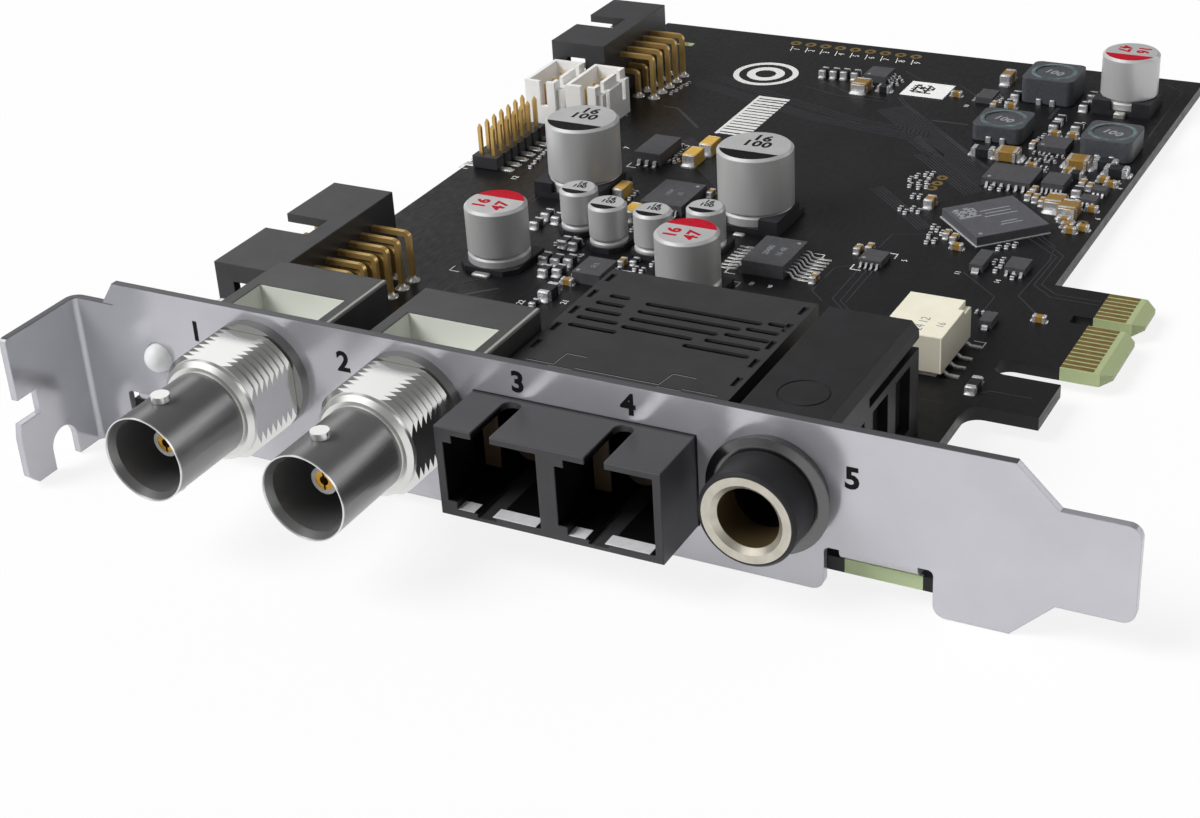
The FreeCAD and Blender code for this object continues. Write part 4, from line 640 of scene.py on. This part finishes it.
printTop, printLine = 0.035, 0.14
rings = [turnedForms([(30.4, 122.0, 0.0)], [(inner, 0.0), (outer, 0.0), (outer, printTop), (inner, printTop)],
                     around, True) for inner, outer, around in ((4.1, 5.0, 64), (1.6, 2.9, 48))]
barWide = 0.45 + 0.38 * np.abs(np.sin(np.arange(15) * 1.7))
bars = [(36.0, 97.6 + k * 1.07, 0.0, 4.6, wide, printTop, 0, 0.02) for k, wide in enumerate(barWide)]
bars.append((33.5, 105.1, 0.0, 0.5, 15.9, printTop, 0, 0.02))
outlines = []
for x, y, wide, deep in [(59.0, 59.7, 9.6, 9.0), (39.7, 48.3, 7.0, 5.8), (26.2, 48.1, 9.4, 9.4),
                         (52.5, 48.5, 9.4, 9.4), (8.9, 80.8, 8.0, 15.2), (29.6, 86.5, 5.0, 9.8),
                         (84.55, 43.3, 10.6, 10.8), (70.2, 64.6, 4.0, 6.0)]:
    outlines += [[(x + sign * wide / 2, y + sign * (deep / 2 - 1.4)), (x + sign * wide / 2, y + sign * deep / 2),
                  (x + sign * (wide / 2 - 1.4), y + sign * deep / 2)] for sign in (-1, 1)]
ticks = [[(x + 0.1, y - 1.5), (x + 0.5, y - 3.6)] for x, y in goldSpots["row"]]
numbers = [(str(k + 1), 1.5, x + 1.2, y - 2.6, 90) for k, (x, y) in enumerate(goldSpots["row"])] + [
    ("12", 1.3, 14.3, 72.6, 90), ("7", 1.3, 24.0, 87.8, 90), ("3", 1.3, 17.9, 99.1, 90), ("16", 1.2, 35.0, 53.2, 90),
    ("21", 1.2, 39.6, 40.6, 90), ("22", 1.2, 34.6, 38.6, 90), ("8", 1.3, 58.6, 53.4, 0), ("9", 1.3, 61.0, 53.4, 0),
    ("5", 1.1, 73.6, 66.2, 90), ("11", 1.0, 80.8, 65.2, 90), ("14", 1.0, 86.0, 64.6, 90), ("6", 1.0, 92.0, 86.6, 90),
    ("4", 1.0, 92.0, 97.0, 90), ("10", 1.0, 63.4, 119.0, 90), ("2", 1.0, 69.8, 118.3, 90)]
makePiece("white_print", rings + [roundedBlocks(bars), flatStrips(outlines + ticks, printLine, printTop)]
          + [numberShape(digits, size, (x, y, 0.02), turn) for digits, size, x, y, turn in numbers], "whitePrint")
makePiece("white_label", [roundedBlocks([(55.95, 123.3, 0.0, 6.7, 5.8, 0.1, 0, 0.06)])], "labelPaper")


def dotPatch(x, y, z, side, count, turn, fill):
    # a square patch of small squares: square i, j is there where the sine of a mix of i and j is over a level
    i, j = np.meshgrid(np.arange(count), np.arange(count))
    keep = np.sin(i * 12.9 + j * 78.2 + i * j * 3.7) > fill
    u, v = (i[keep] - (count - 1) / 2) * side / count, (j[keep] - (count - 1) / 2) * side / count
    cos, sin = math.cos(math.radians(turn)), math.sin(math.radians(turn))
    size, ones = np.full(u.shape, side / count * 0.92), np.ones(u.shape)
    return roundedBlocks(np.stack([x + u * cos - v * sin, y + u * sin + v * cos, ones * z, size, size, ones * 0.03,
                                   ones * turn, ones * 0.01], -1))


makePiece("label_dots", [dotPatch(55.2, 123.3, 0.09, 3.4, 9, 0, 0.0)], "blackInk")
print("print done")

# print and marks on the parts

cans = {
    # middle x, middle y, can radius, top, and where the coloured segment lies (the side, seen from above)
    "black": [(25.15, 73.3, 5.0, 10.0, 270), (51.05, 72.0, 5.0, 10.0, 270), (31.25, 60.4, 2.5, 6.0, 270),
              (37.05, 57.3, 2.5, 6.0, 270), (43.45, 57.3, 2.5, 6.0, 270), (49.25, 60.6, 2.5, 6.0, 270)],
    "red": [(26.2, 48.1, 4.0, 8.2, 90), (52.5, 48.5, 4.0, 8.2, 90), (85.0, 126.4, 4.0, 8.2, 270)],
    "blackChord": 0.46, "redChord": 0.36,
}


def segmentShape(x, y, radius, top, turn, chord):
    # the part of a disc beyond a chord, both as shares of the radius: points run from the straight chord at v = 0
    # to the arc, cosine and sine of the angle, at v = 1, and the whole is turned by degrees
    half = math.acos(chord)
    u, v = np.meshgrid(np.linspace(-1, 1, 25), np.array([0.0, 0.5, 1.0]))
    straight = np.stack([np.full_like(u, chord), u * math.sin(half)], -1)
    arc = np.stack([np.cos(u * half), np.sin(u * half)], -1)
    flat = (straight + (arc - straight) * v[..., None]) * radius
    cos, sin = math.cos(math.radians(turn)), math.sin(math.radians(turn))
    px = x + flat[..., 0] * cos - flat[..., 1] * sin
    py = y + flat[..., 0] * sin + flat[..., 1] * cos
    levels = [np.stack([px, py, np.full_like(px, z)], -1).reshape(-1, 3) for z in (top + 0.015, top - 0.02)]
    k = np.arange(u.size).reshape(u.shape)
    face = np.stack([k[:-1, :-1], k[1:, :-1], k[1:, 1:], k[:-1, 1:]], -1).reshape(-1, 4)
    rim = np.concatenate([k[0, :-1], k[:-1, -1], k[-1, :0:-1], k[:0:-1, 0]])
    wall = np.stack([rim, np.roll(rim, -1), np.roll(rim, -1) + u.size, rim + u.size], -1)
    return np.concatenate(levels), face.tolist() + (face[:, ::-1] + u.size).tolist() + wall.tolist()


blackPrint, redPrint = [[segmentShape(x, y, r - 0.36, top, turn, chord) for x, y, r, top, turn in cans[colour]]
                        for colour, chord in (("black", cans["blackChord"]), ("red", cans["redChord"]))]
for x, y, r, top, turn in cans["black"]:
    s = r / 5.0
    blackPrint += [numberShape(digits, 2.5 * s, (x, y + dy * s, top + 0.012), 0, 0.07 * s)
                   for digits, dy in (("100", 0.5), ("16", 2.5))]
for x, y, r, top, turn in cans["red"]:
    sign = 1 if turn == 90 else -1
    redPrint += [numberShape(digits, 2.4, (x + dx * sign, y - sign, top + 0.012), 90 * sign, 0.09)
                 for digits, dx in (("47", 1.3), ("16", -1.4))]
makePiece("relay_marks", [numberShape(digits, size, (x, y, relayHigh[2] + 0.005))
                          for digits, size, x, y in (("24 12", 1.5, 84.9, 41.0), ("16", 1.3, 87.0, 41.4))],
          "laserMark")
makePiece("can_print_black", blackPrint, "blackInk")
makePiece("can_print_red", redPrint, "redInk")

varnishRing = [(2.72, -0.05), (3.3, -0.02), (3.24, 0.02), (3.0, 0.04), (2.72, 0.03)]
makePiece("coil_varnish", [turnedForms([(x, y, high)], varnishRing, 48, True) for x, y, side, high in coils],
          "blueVarnish")
coilMarks = [numberShape("100", 1.9, (x, y, high - 0.14), -19.885165, 0.07) for x, y, side, high in coils]
dots = turnedForms([(61.0, 62.7, 1.8), (40.9, 75.6, 1.4), (38.3, 46.6, 1.5), (75.5, 92.9, 1.1), (83.1, 93.2, 1.1),
                    (78.6, 106.4, 0.9), (69.2, 63.6, 0.9), (80.5, 74.4, 1.3), (46.3, 124.4, 1.1)],
                   [(0.26, -0.02), (0.26, 0.012), (0.05, 0.012)], 14)
chipLow, chipHigh = boxMm("main_chip")
chipX, chipY, chipTop = (chipLow[0] + chipHigh[0]) / 2, (chipLow[1] + chipHigh[1]) / 2, chipHigh[2]
# places on the main chip are steps along its two edges, turned by an eighth of a turn
slant = 0.7071
rules = [(chipX + (1 - along) * slant, chipY + (1 + along) * slant, chipTop - 0.02, long, 0.22, 0.03, 45, 0.01)
         for along, long in ((-2.6, 3.0), (-1.9, 2.2), (0.3, 4.6), (1.2, 3.6), (2.1, 4.2))]
chipPatch = dotPatch(chipX - 3.7, chipY - 0.4, chipTop - 0.02, 3.0, 9, 45, -0.2)
chipMarks = [numberShape(digits, size, (x, y, top - 0.008)) for digits, size, x, y, top in (
    ("20480", 1.1, 58.2, 59.7, 1.8), ("16 48", 1.1, 59.9, 59.7, 1.8), ("1024", 0.9, 38.2, 72.6, 1.4),
    ("32", 0.9, 39.8, 72.6, 1.4), ("512", 0.9, 39.7, 48.5, 1.5))]
makePiece("laser_marks", coilMarks + chipMarks + [dots, roundedBlocks(rules), chipPatch], "laserMark")

# plain port numbers on the bracket's outer face
portNumbers = [("1", 3.2, 16.75, 10.9), ("2", 3.2, 36.02, 10.9), ("3", 3.2, 57.2, 12.7), ("4", 3.2, 69.6, 12.7),
               ("5", 3.2, 92.9, 9.6)]
makePiece("port_numbers", [numberShape(digits, size, (x, -0.004, z), bold=0.11, thick=0.03, upright=True)
                           for digits, size, x, z in portNumbers], "blackInk")

# folds in the transceiver cover: a painted shade line in each gap and a painted highlight beside it
seams = [[(53.4, 8.1), (56.7, 8.1), (56.9, 10.7), (59.3, 10.7)], [(56.2, 7.7), (59.0, 7.7)],
         [(59.3, 8.1), (68.8, 8.1), (69.2, 10.7), (71.8, 10.7)], [(68.8, 7.7), (71.5, 7.7)], [(71.5, 8.1), (75.3, 8.1)]]
seamLights = [[(x + 0.06, y - 0.12) for x, y in path] for path in seams]
makePiece("cover_seams", [flatStrips(seams, 0.13, 10.845, 0.045)], "darkSeam")
makePiece("cover_seam_light", [flatStrips(seamLights, 0.08, 10.85, 0.05)], "seamHighlight")

# pale lips on the port floors, either side of their grooves, and a dark tab behind each key slot

ports = {"centres": (58.05, 70.65), "lips": ((-3.55, 2.3), (2.2, 4.9)), "lipY": -6.88, "floor": 1.5,
         "tabShift": -3.5, "tabY": -1.5, "tabLow": 3.4, "tabHigh": 6.66}
lips = [(x + dx, ports["lipY"], ports["floor"], long, 1.7, 0.05, 0, 0.02)
        for x in ports["centres"] for dx, long in ports["lips"]]
tabs = [(x + ports["tabShift"], ports["tabY"], ports["tabLow"], 1.9, 0.35, ports["tabHigh"], 0, 0.05)
        for x in ports["centres"]]
makePiece("port_lips", [roundedBlocks(lips)], "palePortLip")
makePiece("port_tabs", [roundedBlocks(tabs)], "brownSleeve")

# the main chip's carrier board shows as a pale line round its foot

carrier = {"side": 10.4, "high": 0.14, "turn": 45}
makePiece("chip_carrier", [roundedBlocks([(chipX, chipY, 0.0, carrier["side"], carrier["side"], carrier["high"],
                                           carrier["turn"], 0.04)])], "carrierEdge")
print("marks done")

# floor: the plane that the card lies on, through a pin tip, a tongue corner and the far board edge

restPoints = np.array([(5.41, 0.86, -5.9), (108.46, 0.86, -3.56), (92.6, 139.1, -1.57)]) * mm
normal = np.cross(restPoints[1] - restPoints[0], restPoints[2] - restPoints[0])
normal /= np.linalg.norm(normal)
acrossFloor = np.cross((0, 1, 0), normal)
acrossFloor /= np.linalg.norm(acrossFloor)
alongFloor = np.cross(normal, acrossFloor)
u, v = np.meshgrid(np.linspace(-3, 3, 5), np.linspace(-3, 3, 5), indexing="ij")
floorPoints = restPoints[0] + u[..., None] * acrossFloor + v[..., None] * alongFloor - normal * 0.00005
floorMesh = bpy.data.meshes.new("floor")
k = np.arange(25).reshape(5, 5)
floorMesh.from_pydata(floorPoints.reshape(-1, 3).tolist(), [],
                      np.stack([k[:-1, :-1], k[1:, :-1], k[1:, 1:], k[:-1, 1:]], -1).reshape(-1, 4).tolist())
floor = bpy.data.objects.new("floor", floorMesh)
bpy.context.scene.collection.objects.link(floor)
floorMaterial = bpy.data.materials.new("paperFloor")  # matt white backdrop paper, keeps the card's shadow
tree = emptyTree(floorMaterial)
seen = addNode(tree, "LightPath").outputs
anyRay = addNode(tree, "Math", [seen["Is Camera Ray"], seen["Is Glossy Ray"]], operation="MAXIMUM")
anySeen = addNode(tree, "Math", [anyRay, seen["Is Transmission Ray"]], operation="MAXIMUM")
share = addNode(tree, "Math", [anySeen, 0.85], operation="MULTIPLY")
paper = addNode(tree, "BsdfDiffuse", {"Color": hexLinear("#f6f6f6")})
glow = addNode(tree, "Emission", {"Color": (1, 1, 1, 1), "Strength": 1.0})
addNode(tree, "OutputMaterial", [addNode(tree, "MixShader", [share, paper, glow])])
floorMesh.materials.append(floorMaterial)

# world and lamps

studio = {"diffuse": 0.26, "glossHigh": 1.0, "glossLow": 0.2, "key": 3.2, "keyWidth": 35,
          "keyFrom": (-0.55, -0.45, 0.72), "dark": (-0.12, 0.22, 1.0),
          # bright panels that only shiny things see: direction, cosine where it starts and where it is full, level
          "panels": [((-0.543, -0.444, 0.711), 0.8, 0.95, 1.3), ((0.695, 0.644, 0.319), 0.93, 0.985, 1.7),
                     ((-0.61, 0.635, 0.473), 0.97, 0.993, 1.1)]}
world = bpy.data.worlds.new("studio")
bpy.context.scene.world = world
tree = emptyTree(world)
seen = addNode(tree, "LightPath").outputs
anyRay = addNode(tree, "Math", [seen["Is Camera Ray"], seen["Is Transmission Ray"]], operation="MAXIMUM")
direction = addNode(tree, "TexCoord").outputs["Generated"]
height = addNode(tree, "VectorMath", [direction, studio["dark"]], operation="DOT_PRODUCT").outputs["Value"]
glossLevel = addNode(tree, "MapRange", {0: height, "From Min": -0.05, "From Max": 0.2, "To Min": studio["glossHigh"],
                                        "To Max": studio["glossLow"]})
for aim, edge, full, extra in studio["panels"]:
    nearness = addNode(tree, "VectorMath", [direction, aim], operation="DOT_PRODUCT").outputs["Value"]
    panel = addNode(tree, "MapRange", {"Value": nearness, "From Min": edge, "From Max": full, "To Min": 0.0,
                                       "To Max": extra}, interpolation_type="SMOOTHSTEP")
    glossLevel = addNode(tree, "Math", [glossLevel, panel], operation="ADD")
level = addNode(tree, "Mix", {0: seen["Is Glossy Ray"], 2: studio["diffuse"], 3: glossLevel}, data_type="FLOAT")
level = addNode(tree, "Mix", {0: anyRay, 2: level, 3: 1.0}, data_type="FLOAT")
background = addNode(tree, "Background", {"Color": (1, 1, 1, 1), "Strength": level})
addNode(tree, "OutputWorld", [background])

lamp = bpy.data.lights.new("keyLight", "SUN")
lamp.energy = studio["key"]
lamp.angle = math.radians(studio["keyWidth"])
keyLight = bpy.data.objects.new("keyLight", lamp)
keyLight.rotation_euler = Vector(studio["keyFrom"]).to_track_quat("Z", "Y").to_euler()
keyLight.visible_glossy = False
bpy.context.scene.collection.objects.link(keyLight)

# camera, worked out from the photograph: 62.45 mm lens on a 36 mm wide frame, 1200 by 818

view = {"place": (0.15447, -0.15587, 0.11015), "lens": 62.45, "right": (0.8841, 0.46395, -0.05585),
        "down": (0.18106, -0.45027, -0.87434), "forward": (-0.4308, 0.76289, -0.48208)}
cameraData = bpy.data.cameras.new("camera")
cameraData.lens = view["lens"]
cameraData.sensor_width = 36.0
cameraData.sensor_fit = "HORIZONTAL"
cameraData.clip_start = 0.005
cameraData.clip_end = 20.0
camera = bpy.data.objects.new("camera", cameraData)
bpy.context.scene.collection.objects.link(camera)
turnMatrix = Matrix((view["right"], [-c for c in view["down"]], [-c for c in view["forward"]])).transposed()
camera.matrix_world = Matrix.Translation(view["place"]) @ turnMatrix.to_4x4()
bpy.context.scene.camera = camera
bpy.context.scene.view_settings.view_transform = "Standard"
print("floor, light and camera done")
